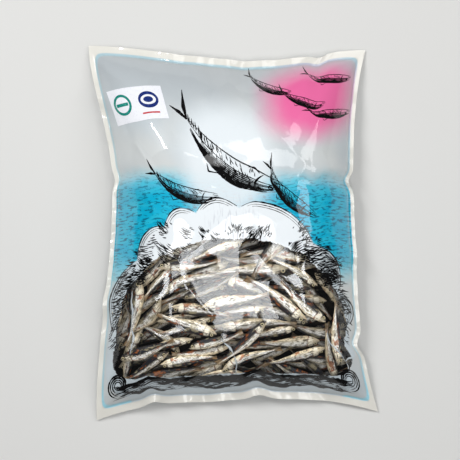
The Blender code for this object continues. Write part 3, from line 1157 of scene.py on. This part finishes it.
def foam_shape_group():
    """A mass of printed foam round the window: a wide dome with round lobes along its edge."""
    tree, (place,) = shader_group("foam_shape", (("Place", "Vector"),))
    x, y = across_and_along(place)
    x = (x - FOAM_MIDDLE[0]) / FOAM_REACH[0]
    y = (y - FOAM_MIDDLE[1]) / FOAM_REACH[1]
    turn = sum_node("ARCTAN2", y, x)
    turn += sum_node("SINE", turn * 3.0) * FOAM_UNEVEN
    lobe = abs(sum_node("SINE", turn * FOAM_LOBES))
    out = (abs(x) ** 2.0 + abs(y) ** 2.0) ** 0.5 / (lobe * FOAM_LOBE_DEPTH + 1.0)
    give(between(out, 1.010, 0.985), "Mask")
    return tree


def film_facets_group():
    """How taut film breaks into flat facets with crisp edges: the way its surface faces."""
    sockets = (("Place", "Vector"), ("Tilt", "Float"))
    tree, (place, tilt) = shader_group("film_facets", sockets, "Normal", "Vector")
    sway = vector_sum("MULTIPLY", noise_colour(place, 16.0, 1.0), (0.020, 0.020, 0.0))
    bent = {"Vector": vector_sum("ADD", place, sway), "Randomness": 1.0}
    broad, small = (
        wire(tree, "ShaderNodeTexVoronoi", {**bent, "Scale": scale}, "Color") for scale in (27.0, 74.0)
    )
    cells = vector_sum("ADD", broad, vector_sum("SCALE", small, 0.05))
    lean = vector_sum("SCALE", vector_sum("SUBTRACT", cells, (0.525, 0.525, 0.5)), tilt)
    lean = vector_sum("MULTIPLY", lean, (1.0, 1.0, 0.0))
    relief = {"Height": speckle(place, 55.0, 2.0, 0.5), "Strength": 0.12, "Distance": 0.001}
    leaning = vector_sum("ADD", wire(tree, "ShaderNodeBump", relief), lean)
    give(wire(tree, "ShaderNodeVectorMath", {0: leaning}, operation="NORMALIZE"), "Normal")
    return tree


def crease_line_group():
    """Where a sharp crease carries a painted glint: a thin line, tapering to both of its ends."""
    sockets = (("Place", "Vector"), ("Start", "Vector"), ("Run", "Vector"), ("Width", "Float"))
    tree, (place, start, run, width) = shader_group("crease_line", sockets)
    off = vector_sum("SUBTRACT", place, start)
    reached, whole = (vector_sum("DOT_PRODUCT", way, run, "Value") for way in (off, run))
    share = sum_node("DIVIDE", reached, whole, clamp=True)
    distance = vector_sum("DISTANCE", off, vector_sum("SCALE", run, share), "Value")
    swell = sum_node("SINE", share * math.pi) * 0.75 + 0.25
    give(between(distance / (width * swell), 1.1, 0.35), "Mask")
    return tree


def noise_colour(place, scale, detail):
    """Even noise at a place, three values at once."""
    inputs = {"Vector": place, "Scale": scale, "Detail": detail}
    return wire(place.tree, "ShaderNodeTexNoise", inputs, "Color")


soft_patch = soft_patch_group()
crease_line = crease_line_group()
window_shape = window_shape_group()
foam_shape = foam_shape_group()
film_facets = film_facets_group()


def grouped(group, inputs, out="Mask"):
    """What a group gives out, in the tree of the place that it is given."""
    return wire(inputs["Place"].tree, "ShaderNodeGroup", inputs, out, node_tree=group)


def patch(place, middle, reach, squareness=2.0, softness=0.3, raggedness=0.0, grain=30.0):
    """The mask of one field of ink. Middle and reach are in metres on the flat film."""
    inputs = {
        "Place": place,
        "Middle": (*middle, 0.0),
        "Reach": (*reach, 1.0),
        "Squareness": squareness,
        "Softness": softness,
        "Raggedness": raggedness,
        "Grain": grain,
    }
    return grouped(soft_patch, inputs)


def painted_crease_glints(place):
    """The sharpest of the creases, with a painted white glint along each."""
    sway = vector_sum("SUBTRACT", noise_colour(place, 45.0, 3.0), (0.5, 0.5, 0.5))
    place = vector_sum("ADD", place, vector_sum("MULTIPLY", sway, (0.012, 0.012, 0.0)))
    mask = 0.0
    for start, end, _, height in CREASES:
        if height >= GLINT_HEIGHT:
            run = (end[0] - start[0], end[1] - start[1], 0.0)
            line = {"Place": place, "Start": (*start, 0.0), "Run": run, "Width": height * GLINT_WIDTH}
            mask = sum_node("MAXIMUM", mask, grouped(crease_line, line))
    return mask * between(speckle(place, 110.0, 2.0, 0.5), 0.30, 0.42)


def flat_film_place(uv):
    """A place on the flat film, in metres from its middle."""
    size = (2 * HALF_WIDTH, 2 * HALF_LENGTH, 1.0)
    return vector_sum("MULTIPLY", vector_sum("SUBTRACT", uv, (0.5, 0.5, 0.0)), size)


def pearl_and_rim(place):
    """The pearl ground with its pale blue border line, and the mask that is 0 on the milky rim."""
    _, along = across_and_along(place)
    clouds = between(speckle(place, 9.0, 2.0, 0.5), 0.40, 0.66)
    pearl = mix(clouds, srgb(190, 199, 204), srgb(207, 211, 211))
    # Painted shade: the pearl grows darker towards the top end, where the film rolls down to the seal
    pearl = mix(between(along, 0.110, 0.190) * 0.8, pearl, srgb(176, 182, 186))
    printed, inside = (
        patch(place, PRINT_MIDDLE, (HALF_WIDTH - at_side, HALF_LENGTH - at_end), 40.0, softness)
        for at_side, at_end, softness in PRINT_EDGES
    )
    border = sum_node("SUBTRACT", printed, inside, clamp=True)
    border *= between(along, -0.195, -0.140, 0.95, 0.40)
    return mix(border, pearl, srgb(160, 216, 232)), printed


def film_gloss(finish, place):
    """The clear gloss over the inks, with the faint unevenness of blown film."""
    facing = grouped(film_facets, {"Place": place, "Tilt": FACET_TILT}, "Normal")
    fill(finish, {"Normal": facing, "Coat Normal": facing})
    fill(finish, {"Coat Weight": 1.0, "Coat Roughness": 0.045, "Coat IOR": 1.5})


def front_film_material():
    """Printed film: pearl ground, turquoise sea, white mist, a pink wash, and a clear window."""
    material, tree, finish = new_material("printed_front_film")
    place = flat_film_place(wire(tree, "ShaderNodeUVMap", uv_map="film"))
    ground, printed = pearl_and_rim(place)
    sea = patch(place, (0.0, 0.002), (0.220, 0.060), 4.0, 0.20, 0.20, 45.0)
    deep = patch(place, (0.0, 0.006), (0.260, 0.052), 4.0, 0.45, 0.20, 30.0)
    long_waves = stretched(place, (110.0, 420.0, 1.0))
    broad = between(speckle(long_waves, 0.30, 2.0, 0.5), 0.44, 0.60) * 0.5
    fleck = between(speckle(long_waves, 1.0, 3.0, 0.6), 0.535, 0.58) * deep * 0.7
    water = mix(deep, srgb(150, 216, 226), srgb(0, 172, 208))
    water = layered(water, ((broad, srgb(50, 194, 218)), (fleck, srgb(2, 66, 96))))
    mist = patch(place, (-0.006, 0.080), (0.056, 0.066), 2.2, 0.35, 0.20, 24.0)
    bright = patch(place, (-0.006, -0.016), (0.112, 0.070), 2.4, 0.22, 0.20, 30.0)
    brushed = speckle(stretched(place, (260.0, 40.0, 1.0)), 1.0, 3.0, 0.6)
    wash = between(brushed, 0.52, 0.66) * patch(place, (0.0, -0.004), (0.030, 0.034), 2.0, 0.6)
    pink = patch(place, (0.101, 0.152), (0.053, 0.042), 2.8, 0.46, 0.30, 22.0)
    inks = (
        (sea, water),
        (mist * 0.9, srgb(229, 236, 240)),
        (grouped(foam_shape, {"Place": place}), mix(bright, srgb(196, 207, 213), srgb(233, 239, 243))),
        (wash * 0.5, srgb(150, 152, 166)),
        (pink * 0.93, srgb(236, 98, 160)),
    )
    tone = mix(printed, srgb(*RIM_TONE), layered(ground, inks))
    window = grouped(window_shape, {"Place": place, "Raggedness": 0.13})
    # Painted glints: along the sharpest creases the window turns opaque and white
    clear = window * (1.0 - painted_crease_glints(place) * 0.85)
    looks = {
        "Base Color": mix(clear, tone, srgb(244, 247, 250)),
        "Metallic": clear,
        "Roughness": between(clear, 0.0, 1.0, PRINT_ROUGHNESS, 0.07),
        "Alpha": between(clear, 0.0, 1.0, between(printed, 0.0, 1.0, 0.80, 1.0), 0.08),
        "Specular IOR Level": 0.15,
    }
    fill(finish, looks)
    film_gloss(finish, place)
    return material


heap_top = closed_over(heap_top)
settled_film, *on_film = front_film_points()
front_film = grid_mesh("front_film", settled_film, film_uv(*on_film))
front_film.data.materials.append(front_film_material())
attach(front_film, "root")
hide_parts("bag")


# The back film. The same pearl film with its border line and no window, lying flat on the table
# under the heap. The two films are welded into one flat milky band all round the rim.

BACK_LINES = (101, 133)


def back_film_material():
    """Pearl film without a window."""
    material, tree, finish = new_material("plain_back_film")
    place = flat_film_place(wire(tree, "ShaderNodeUVMap", uv_map="film"))
    ground, printed = pearl_and_rim(place)
    tone, alpha = mix(printed, srgb(*RIM_TONE), ground), between(printed, 0.0, 1.0, 0.80, 1.0)
    fill(finish, {"Base Color": tone, "Alpha": alpha, "Roughness": PRINT_ROUGHNESS})
    film_gloss(finish, place)
    return material


across, along = sheet_grid(*BACK_LINES)
x, y = plan(across, along)
under = np.maximum(back_height(across, along) - SEAL_THICKNESS / 4, 0.0)
lying_film = np.stack([x, y, under], axis=-1)
back_film = grid_mesh("back_film", lying_film, film_uv(across, along), upwards=False)
back_film.data.materials.append(back_film_material())
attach(back_film, "root")
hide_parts("bag")


# The ink drawing. Black brush strokes printed over the colours: three leaping fish, a shoal over
# the pink wash, outlines and spray of the foam, and a rolling wave with curls under the window. Each
# stroke is a flat ribbon on the flat film, laid onto the settled film by a geometry tree.

STROKE_STEP = 0.0014
INK_LIFT = 0.00022
INK_SEED = 5
FISH_LINES = 9
FLANK_STROKES = 60
FOAM_SIDE_GAP = 0.008
WAVE_LINES = 9
WAVE_CRESTS = 210
CURL_LINES = 4

# The wave's band on the flat film, its low, high, left and right sides, and the middle of a curl
WAVE_BAND = (-0.1930, -0.1780, -0.140, 0.138)
CURL_MIDDLE = (0.1325, -0.1760)

# The big fish: (middle on the flat film, length, turn in degrees, bend); and the shoal's middles,
# with their length and bend, and the turn of the first and of each one more than the one before
LEAPING_FISH = (
    ((-0.006, 0.086), 0.160, 142, -0.16),
    ((-0.066, 0.046), 0.096, 162, -0.12),
    ((0.070, 0.044), 0.090, 132, -0.14),
)
SHOAL = ((0.048, 0.176), (0.088, 0.154), (0.118, 0.180), (0.122, 0.136))
SHOAL_LENGTH, SHOAL_BEND = 0.062, -0.12
SHOAL_TURN, SHOAL_FANNED = 148, 9

# The spray: (from and to in degrees round the window, groups, strokes in one, nearest and farthest
# from the window, longest stroke)
SPRAYS = (
    (108, 150, 12, 10, -0.008, 0.014, 0.026),
    (145, 186, 24, 9, -0.006, 0.010, 0.020),
    (30, 70, 12, 10, -0.008, 0.014, 0.026),
    (-6, 35, 24, 9, -0.006, 0.010, 0.020),
    (72, 108, 10, 9, -0.004, 0.010, 0.018),
    (118, 160, 9, 7, 0.014, 0.026, 0.016),
    (20, 62, 9, 7, 0.014, 0.026, 0.016),
)

ink_points, ink_faces = [], []
ink_draw = random.Random(INK_SEED)


def stroke(path, widths, rough=0.22):
    """One brush stroke along a path on the flat film, in metres, with a width at each of its points."""
    path, widths = np.array(path, float), np.array(widths, float)
    runs = np.hypot(*np.diff(path, axis=0).T)
    reached = np.concatenate([[0.0], np.cumsum(runs)])
    count = max(4, int(reached[-1] / STROKE_STEP) + 1)
    at = np.linspace(0.0, reached[-1], count)
    x, y = np.interp(at, reached, path[:, 0]), np.interp(at, reached, path[:, 1])
    width = np.interp(at, reached, widths) / 2
    unsteady = np.array([ink_draw.uniform(-1, 1) for _ in range(count)])
    width *= 1 + rough * np.convolve(unsteady, [0.3, 0.4, 0.3], "same")
    dx, dy = np.gradient(x), np.gradient(y)
    length = np.hypot(dx, dy) + 1e-12
    nx, ny = -dy / length, dx / length
    first = len(ink_points)
    for side in (-1, 0, 1):
        u = (x + side * width * nx) / (2 * HALF_WIDTH) + 0.5
        v = (y + side * width * ny) / (2 * HALF_LENGTH) + 0.5
        ink_points.extend(zip(u, v, np.zeros(count)))
    for lane in (0, 1):
        for step in range(count - 1):
            near = first + lane * count + step
            ink_faces.append((near, near + 1, near + 1 + count, near + count))


def drop(count=24, sharp=0.7):
    """How the width of a stroke swells and tapers."""
    return np.sin(np.linspace(0.02, math.pi - 0.02, count)) ** sharp


def ink_fish(middle, length, turn, bend):
    """A brush-drawn anchovy: a heavy back, a thin belly line, gill, eye, tail and flank strokes."""
    cos, sin = math.cos(turn), math.sin(turn)

    def put(s, y):
        """A point of the fish, from its length share and its height share."""
        s, y = np.asarray(s, float), np.asarray(y, float)
        lift = y + bend * (4 * s**2 - 0.4)
        x, y = s * cos - lift * sin, s * sin + lift * cos
        return np.stack([middle[0] + length * x, middle[1] + length * y], axis=-1)

    def short(s, y, widths):
        """A short stroke of the fish, its widths in shares of the length."""
        stroke(put(s, y), np.array(widths) * length)

    s = np.linspace(-0.48, 0.40, 24)
    body = np.sin(np.linspace(0.05, 1.0, 24) ** 0.75 * math.pi) ** 0.8
    for lane in range(FISH_LINES):
        first, last = ink_draw.randrange(0, 3 + lane // 2), 24 - ink_draw.randrange(0, 3 + lane)
        run = slice(first, last)
        swell = drop(last - first, 0.4) * (0.0150 - 0.0010 * lane) * length
        stroke(put(s[run], (0.088 - 0.0125 * lane) * body[run]), swell, 0.45)
    stroke(put(s, -0.088 * body), 0.008 * length * drop() + 0.0003)
    stroke(put(s[:20], -0.012 * body[:20]), 0.006 * length * drop(20) + 0.0002)
    gill = np.linspace(-1.1, 1.2, 14)
    gill_line = put(-0.33 + 0.030 * np.cos(gill), -0.012 + 0.066 * np.sin(gill))
    stroke(gill_line, 0.016 * length * drop(14))
    mouth = put(np.linspace(-0.495, -0.42, 8), np.linspace(-0.010, -0.036, 8))
    stroke(mouth, np.full(8, 0.007 * length))
    ring = np.linspace(0, 2 * math.pi, 20)
    eye_line = put(-0.415 + 0.018 * np.cos(ring), 0.012 + 0.018 * np.sin(ring))
    stroke(eye_line, np.full(20, 0.007 * length), 0.0)
    stroke(put([-0.424, -0.406], [0.012, 0.012]), np.full(2, 0.016 * length), 0.0)
    for lobe in (-1, 1):
        short([0.38, 0.45, 0.53], [0.0, 0.030 * lobe, 0.088 * lobe], [0.012, 0.030, 0.004])
    short([-0.02, 0.05, 0.09], [0.085, 0.125, 0.088], [0.006, 0.012, 0.004])
    short([-0.28, -0.22, -0.18], [-0.070, -0.095, -0.078], [0.006, 0.012, 0.004])
    for _ in range(FLANK_STROKES):
        at = ink_draw.uniform(-0.28, 0.36)
        depth = 0.085 * math.sin(min(1.0, at + 0.62) * math.pi) ** 0.8
        top = ink_draw.uniform(-0.7, 0.2) * depth
        run = ink_draw.uniform(0.020, 0.055)
        short([at, at + run / 2, at + run], [top, top - 0.010, top - 0.028], [0.003, 0.008, 0.002])


def hatch(start_turn, end_turn, groups, strokes, near, far, longest):
    """Groups of parallel brush strokes that fly outwards from the edge of the window."""
    for _ in range(groups):
        turn = math.radians(ink_draw.uniform(start_turn, end_turn))
        out = ink_draw.uniform(near, far)
        start_x = WINDOW_MIDDLE + (WINDOW_HALF_WIDTH + out) * math.cos(turn)
        start_y = WINDOW_WAIST + (WINDOW_TOP - WINDOW_WAIST + out) * math.sin(turn)
        lean = turn + ink_draw.gauss(0.55 if start_x < 0 else -0.55, 0.30)
        cos, sin = math.cos(lean), math.sin(lean)
        longest_here = ink_draw.uniform(0.45, 1.0) * longest
        gap = ink_draw.uniform(0.0015, 0.0026)
        for number in range(strokes):
            aside = (number - strokes / 2) * gap + ink_draw.uniform(-0.0005, 0.0005)
            ahead = ink_draw.uniform(-0.004, 0.004)
            bulge = math.sin((number + 0.7) / (strokes + 0.4) * math.pi)
            run = longest_here * ink_draw.uniform(0.55, 1.1) * bulge
            x, y = start_x - aside * sin + ahead * cos, start_y + aside * cos + ahead * sin
            end = (x + run * cos, y + run * sin)
            if max(abs(x), abs(end[0])) > HALF_WIDTH - 0.010:
                continue
            middle = ((x + end[0]) / 2 - 0.08 * run * sin, (y + end[1]) / 2 + 0.08 * run * cos)
            width = ink_draw.uniform(0.0008, 0.0020)
            stroke([(x, y), middle, end], [width * 0.5, width, width * 0.15])


def foam_outline():
    """Brush lines along the edge of the foam, heavier where one lobe meets the next."""
    turn = np.linspace(0.04, math.pi - 0.04, 420)
    phase = FOAM_LOBES * (turn + FOAM_UNEVEN * np.sin(3 * turn))
    lobe = np.abs(np.sin(phase))
    number = np.floor(phase / math.pi)
    for inset, width in ((0.000, 0.0013), (0.022, 0.0006), (0.040, 0.0004)):
        reach = 1 - inset + FOAM_LOBE_DEPTH * lobe
        x = FOAM_MIDDLE[0] + FOAM_REACH[0] * reach * np.cos(turn)
        y = FOAM_MIDDLE[1] + FOAM_REACH[1] * reach * np.sin(turn)
        drawn = (np.abs(x) < HALF_WIDTH - FOAM_SIDE_GAP) & (lobe > 0.10 + 12 * inset)
        for one in np.unique(number):
            keep = (number == one) & drawn
            if keep.sum() > 8:
                swell = 0.35 + 0.9 * np.abs(np.cos(phase[keep] * 1.7 + one))
                widths = width * swell * drop(keep.sum(), 0.4) + 0.0002
                stroke(np.stack([x, y], axis=-1)[keep], widths, 0.5)


def rolling_wave(low, high, left, right):
    """A dark band of rolling water: rows of rough strokes, thick below, with small crests on them."""
    x = np.linspace(left, right, 90)
    for lane in range(WAVE_LINES):
        share = lane / (WAVE_LINES - 1)
        swell = 0.0012 * np.sin(x * 95 + share * 5.0) + 0.0006 * np.sin(x * 310 + lane)
        ends = np.minimum((x - left) / 0.014, (right - x) / 0.014).clip(0.12, 1.0)
        patchy = 0.5 + 0.5 * np.sin(x * 150 + lane * 2.3 + 2.4 * np.sin(x * 61 + lane))
        y = low + (high - low) * share + swell + 0.003 * (1 - ends) * (share - 0.5)
        widths = (0.0003 + 0.0030 * np.maximum(patchy, share**3) ** 1.5) * ends
        stroke(np.stack([x, y], axis=-1), widths, 0.5)
    for _ in range(WAVE_CRESTS):
        at = ink_draw.uniform(left + 0.004, right - 0.008)
        share = ink_draw.uniform(0.0, 1.15)
        run = ink_draw.uniform(0.003, 0.008)
        y = low + (high - low) * share + 0.0012 * math.sin(at * 95 + share * 5.0)
        width = ink_draw.uniform(0.0006, 0.0016)
        crest = [(at, y), (at + run / 2, y + 0.0012), (at + run, y - 0.0004)]
        stroke(crest, [0.3 * width, width, 0.2 * width], 0.4)


def wave_curl(side):
    """The end of the band: water curling over, in several thin brush lines."""
    for ring in range(CURL_LINES):
        swirl = np.linspace(0.0, 1.0, 36)
        turn = -1.5 + (6.4 - 0.5 * ring) * swirl
        reach = (0.0150 - 0.0030 * ring) * (1 - 0.62 * swirl)
        x = side * (CURL_MIDDLE[0] + reach * np.cos(turn))
        y = CURL_MIDDLE[1] + 1.1 * reach * np.sin(turn)
        stroke(np.stack([x, y], axis=-1), (0.0023 - 0.0003 * ring) * drop(36, 0.6), 0.6)


foam_outline()
for middle, length, turn, bend in LEAPING_FISH:
    ink_fish(middle, length, math.radians(turn), bend)
for step, middle in enumerate(SHOAL):
    ink_fish(middle, SHOAL_LENGTH, math.radians(SHOAL_TURN + SHOAL_FANNED * step), SHOAL_BEND)
for spray in SPRAYS:
    hatch(*spray)
rolling_wave(*WAVE_BAND)
for side in (-1, 1):
    wave_curl(side)


def print_on_film_tree():
    """Takes a drawing on the flat film, from 0 to 1 each way, and lays it onto the settled film."""
    sockets = (("Drawing", "Geometry"), ("Film", "Object"), ("Lift", "Float"), ("Ink", "Material"))
    tree, given = new_tree("print_on_film", "GeometryNodeTree", sockets, "Printed", "Geometry")
    drawing, film, lift, ink = given
    shape = wire(tree, "GeometryNodeObjectInfo", {"Object": film}, "Geometry")
    uv = carried_by(tree, "film", "FLOAT_VECTOR")
    place, facing = (wire(tree, "GeometryNodeInput" + field) for field in ("Position", "Normal"))
    read = []
    for field in (place, facing):
        sampled = add_node(tree, "GeometryNodeSampleUVSurface", {}, data_type="FLOAT_VECTOR")
        inputs = {socket.identifier: socket for socket in sampled.inputs if socket.enabled}
        shape.into(inputs["Mesh"])
        field.into(next(socket for name, socket in inputs.items() if name.startswith("Value")))
        uv.into(inputs["Source UV Map"])
        place.into(inputs["Sample UV"])
        read.append(Wire(next(socket for socket in sampled.outputs if socket.enabled)))
    there = vector_sum("ADD", read[0], vector_sum("SCALE", read[1], lift))
    kept = stored(drawing, "film_place", place, "FLOAT_VECTOR", "POINT")
    put = wire(tree, "GeometryNodeSetPosition", {"Geometry": kept, "Position": there})
    made_solid(put, ink, "Printed")
    return tree


def ink_material(name, tone, thin_tone, roughness=0.4):
    """Printing ink under the gloss of the film, a little uneven in strength."""
    material, tree, finish = new_material(name)
    thin = between(speckle(object_place(tree), 420.0, 3.0, 0.6), 0.52, 0.70) * 0.7
    ink = mix(thin, srgb(*tone), srgb(*thin_tone))
    fill(finish, {"Base Color": ink, "Roughness": roughness, "Specular IOR Level": 0.05})
    film_gloss(finish, flat_film_place(attribute_of(tree, "film_place", "Vector")))
    return material


film_printing = print_on_film_tree()
drawn = new_object("ink_drawing", ink_points, ink_faces)
black_ink = ink_material("black_ink", (3, 3, 4), (17, 18, 21), 0.7)
ink_drawing = made_real(drawn, film_printing, {"Film": front_film, "Lift": INK_LIFT, "Ink": black_ink})
ink_drawing.data.shade_smooth()
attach(ink_drawing, "root")


# The sticker. A white paper label at the upper left of the front, turned a little and stuck onto
# the film, with a disc, an oval and a bar printed on it in three inks.

STICKER_MIDDLE = (-0.110, 0.141)
STICKER_SIZE = (0.070, 0.040)
STICKER_TURN = math.radians(7.5)
OVAL_SPOKES, OVAL_RINGS = 40, 8

# How far the paper and each print on it lie above the film
PAPER, FIRST_PRINT, SECOND_PRINT, THIRD_PRINT = 0.00025, 0.00045, 0.00060, 0.00075


def oval_outline():
    """An oval of size 1 by 1, from its middle outwards."""
    points = [(0.0, 0.0)]
    for ring in range(1, OVAL_RINGS + 1):
        for spoke in range(OVAL_SPOKES):
            turn, reach = spoke / OVAL_SPOKES * 2 * math.pi, ring / OVAL_RINGS
            points.append((reach / 2 * math.cos(turn), reach / 2 * math.sin(turn)))
    return points, disc_faces(0, OVAL_SPOKES, OVAL_RINGS)


def box_outline(columns, rows):
    """A rectangle of size 1 by 1, as a grid."""
    points = [(x, y) for x in np.linspace(-0.5, 0.5, columns) for y in np.linspace(-0.5, 0.5, rows)]
    nears = [column * rows + row for column in range(columns - 1) for row in range(rows - 1)]
    return points, [(near, near + rows, near + rows + 1, near + 1) for near in nears]


def sticker_patch(name, middle, size, material, lift, round_shape=False):
    """A plain shape on the sticker: a rectangle, or an oval, cut fine enough to follow the film."""
    counts = [max(2, int(side / STROKE_STEP) + 1) for side in size]
    shape, faces = oval_outline() if round_shape else box_outline(*counts)
    x, y = (np.array(shape) * size + middle).T
    cos, sin = math.cos(STICKER_TURN), math.sin(STICKER_TURN)
    u = (STICKER_MIDDLE[0] + x * cos - y * sin) / (2 * HALF_WIDTH) + 0.5
    v = (STICKER_MIDDLE[1] + x * sin + y * cos) / (2 * HALF_LENGTH) + 0.5
    flat = new_object(name, np.stack([u, v, np.zeros_like(u)], axis=-1), faces)
    made = made_real(flat, film_printing, {"Film": front_film, "Lift": lift, "Ink": material})
    made.data.shade_smooth()
    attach(made, "root")


sticker_paper = ink_material("sticker_paper", (238, 240, 246), (226, 228, 236))
teal_ink = ink_material("teal_ink", (20, 132, 120), (90, 176, 166))
navy_ink = ink_material("navy_ink", (24, 44, 112), (70, 90, 150))
red_ink = ink_material("red_ink", (196, 60, 66), (214, 110, 110))
disc, oval = (-0.019, 0.001), (0.0155, 0.003)
sticker_patch("sticker", (0.0, 0.0), STICKER_SIZE, sticker_paper, PAPER)
sticker_patch("sticker_disc", disc, (0.024, 0.024), teal_ink, FIRST_PRINT, True)
sticker_patch("sticker_disc_middle", disc, (0.018, 0.018), sticker_paper, SECOND_PRINT, True)
sticker_patch("sticker_disc_bar", disc, (0.016, 0.0036), teal_ink, THIRD_PRINT)
sticker_patch("sticker_oval", oval, (0.025, 0.020), navy_ink, FIRST_PRINT, True)
sticker_patch("sticker_oval_ring", oval, (0.019, 0.012), sticker_paper, SECOND_PRINT, True)
sticker_patch("sticker_oval_middle", oval, (0.012, 0.007), navy_ink, THIRD_PRINT, True)
sticker_patch("sticker_red_bar", (0.015, -0.0125), (0.022, 0.0018), red_ink, FIRST_PRINT)


# The studio. A plain pale floor, a narrow key light from the upper left, a softbox overhead that the
# window mirrors and one over the upper half, two strips that draw the gloss of the film, and a weak
# fill. The camera looks straight down, as the photographer did.

CAMERA_HEIGHT = 1.5
FRAME_AT_TABLE = 0.5295
VIEW_MIDDLE = (-0.0040, 0.0035)
FLOOR_REACH = 4.0
FLOOR_HEIGHT = -0.0004

# The lights, which all face the middle of the table: (name, place, width and length, watts)
LIGHTS = (
    ("key_light", (-0.9, 0.9, 1.5), (0.09, 0.9), 21),
    ("overhead_light", (0.06, -0.62, 2.0), (0.54, 1.05), 9.3),
    ("upper_light", (0.47, 0.92, 1.95), (0.62, 1.20), 9),
    ("left_strip", (-0.66, -0.40, 2.0), (0.16, 0.7), 3.0),
    ("right_strip", (0.86, -0.50, 1.9), (0.16, 0.7), 3.0),
    ("fill_light", (1.5, 0.5, 1.5), (0.9, 0.9), 10),
)
ROOM_GLOW = 0.06

floor_corners = [(x * FLOOR_REACH, y * FLOOR_REACH, 0) for x, y in ((-1, -1), (1, -1), (1, 1), (-1, 1))]
floor = new_object("floor", floor_corners, [(0, 1, 2, 3)])
floor_paint, _, floor_finish = new_material("pale_floor")
fill(floor_finish, {"Base Color": srgb(214, 214, 212), "Roughness": 0.9})
floor.data.materials.append(floor_paint)
floor.location.z = FLOOR_HEIGHT

for name, place, size, power in LIGHTS:
    lamp = bpy.data.lights.new(name, "AREA")
    lamp.shape = "RECTANGLE"
    lamp.size, lamp.size_y = size
    lamp.energy = power
    light = in_scene(name, lamp)
    light.location = place
    light.rotation_euler = (-Vector(place)).to_track_quat("-Z", "Y").to_euler()
world = bpy.data.worlds.new("studio")
bpy.context.scene.world = world
world.use_nodes = True
fill(world.node_tree.nodes["Background"], {"Color": (1.0, 1.0, 1.0, 1.0), "Strength": ROOM_GLOW})

lens = bpy.data.cameras.new("camera")
lens.sensor_width = 36.0
lens.lens = lens.sensor_width * CAMERA_HEIGHT / FRAME_AT_TABLE
camera = in_scene("camera", lens)
camera.location = (*VIEW_MIDDLE, CAMERA_HEIGHT)
camera.rotation_euler = (0.0, 0.0, 0.0)
bpy.context.scene.camera = camera
bpy.context.scene.view_settings.view_transform = "Standard"
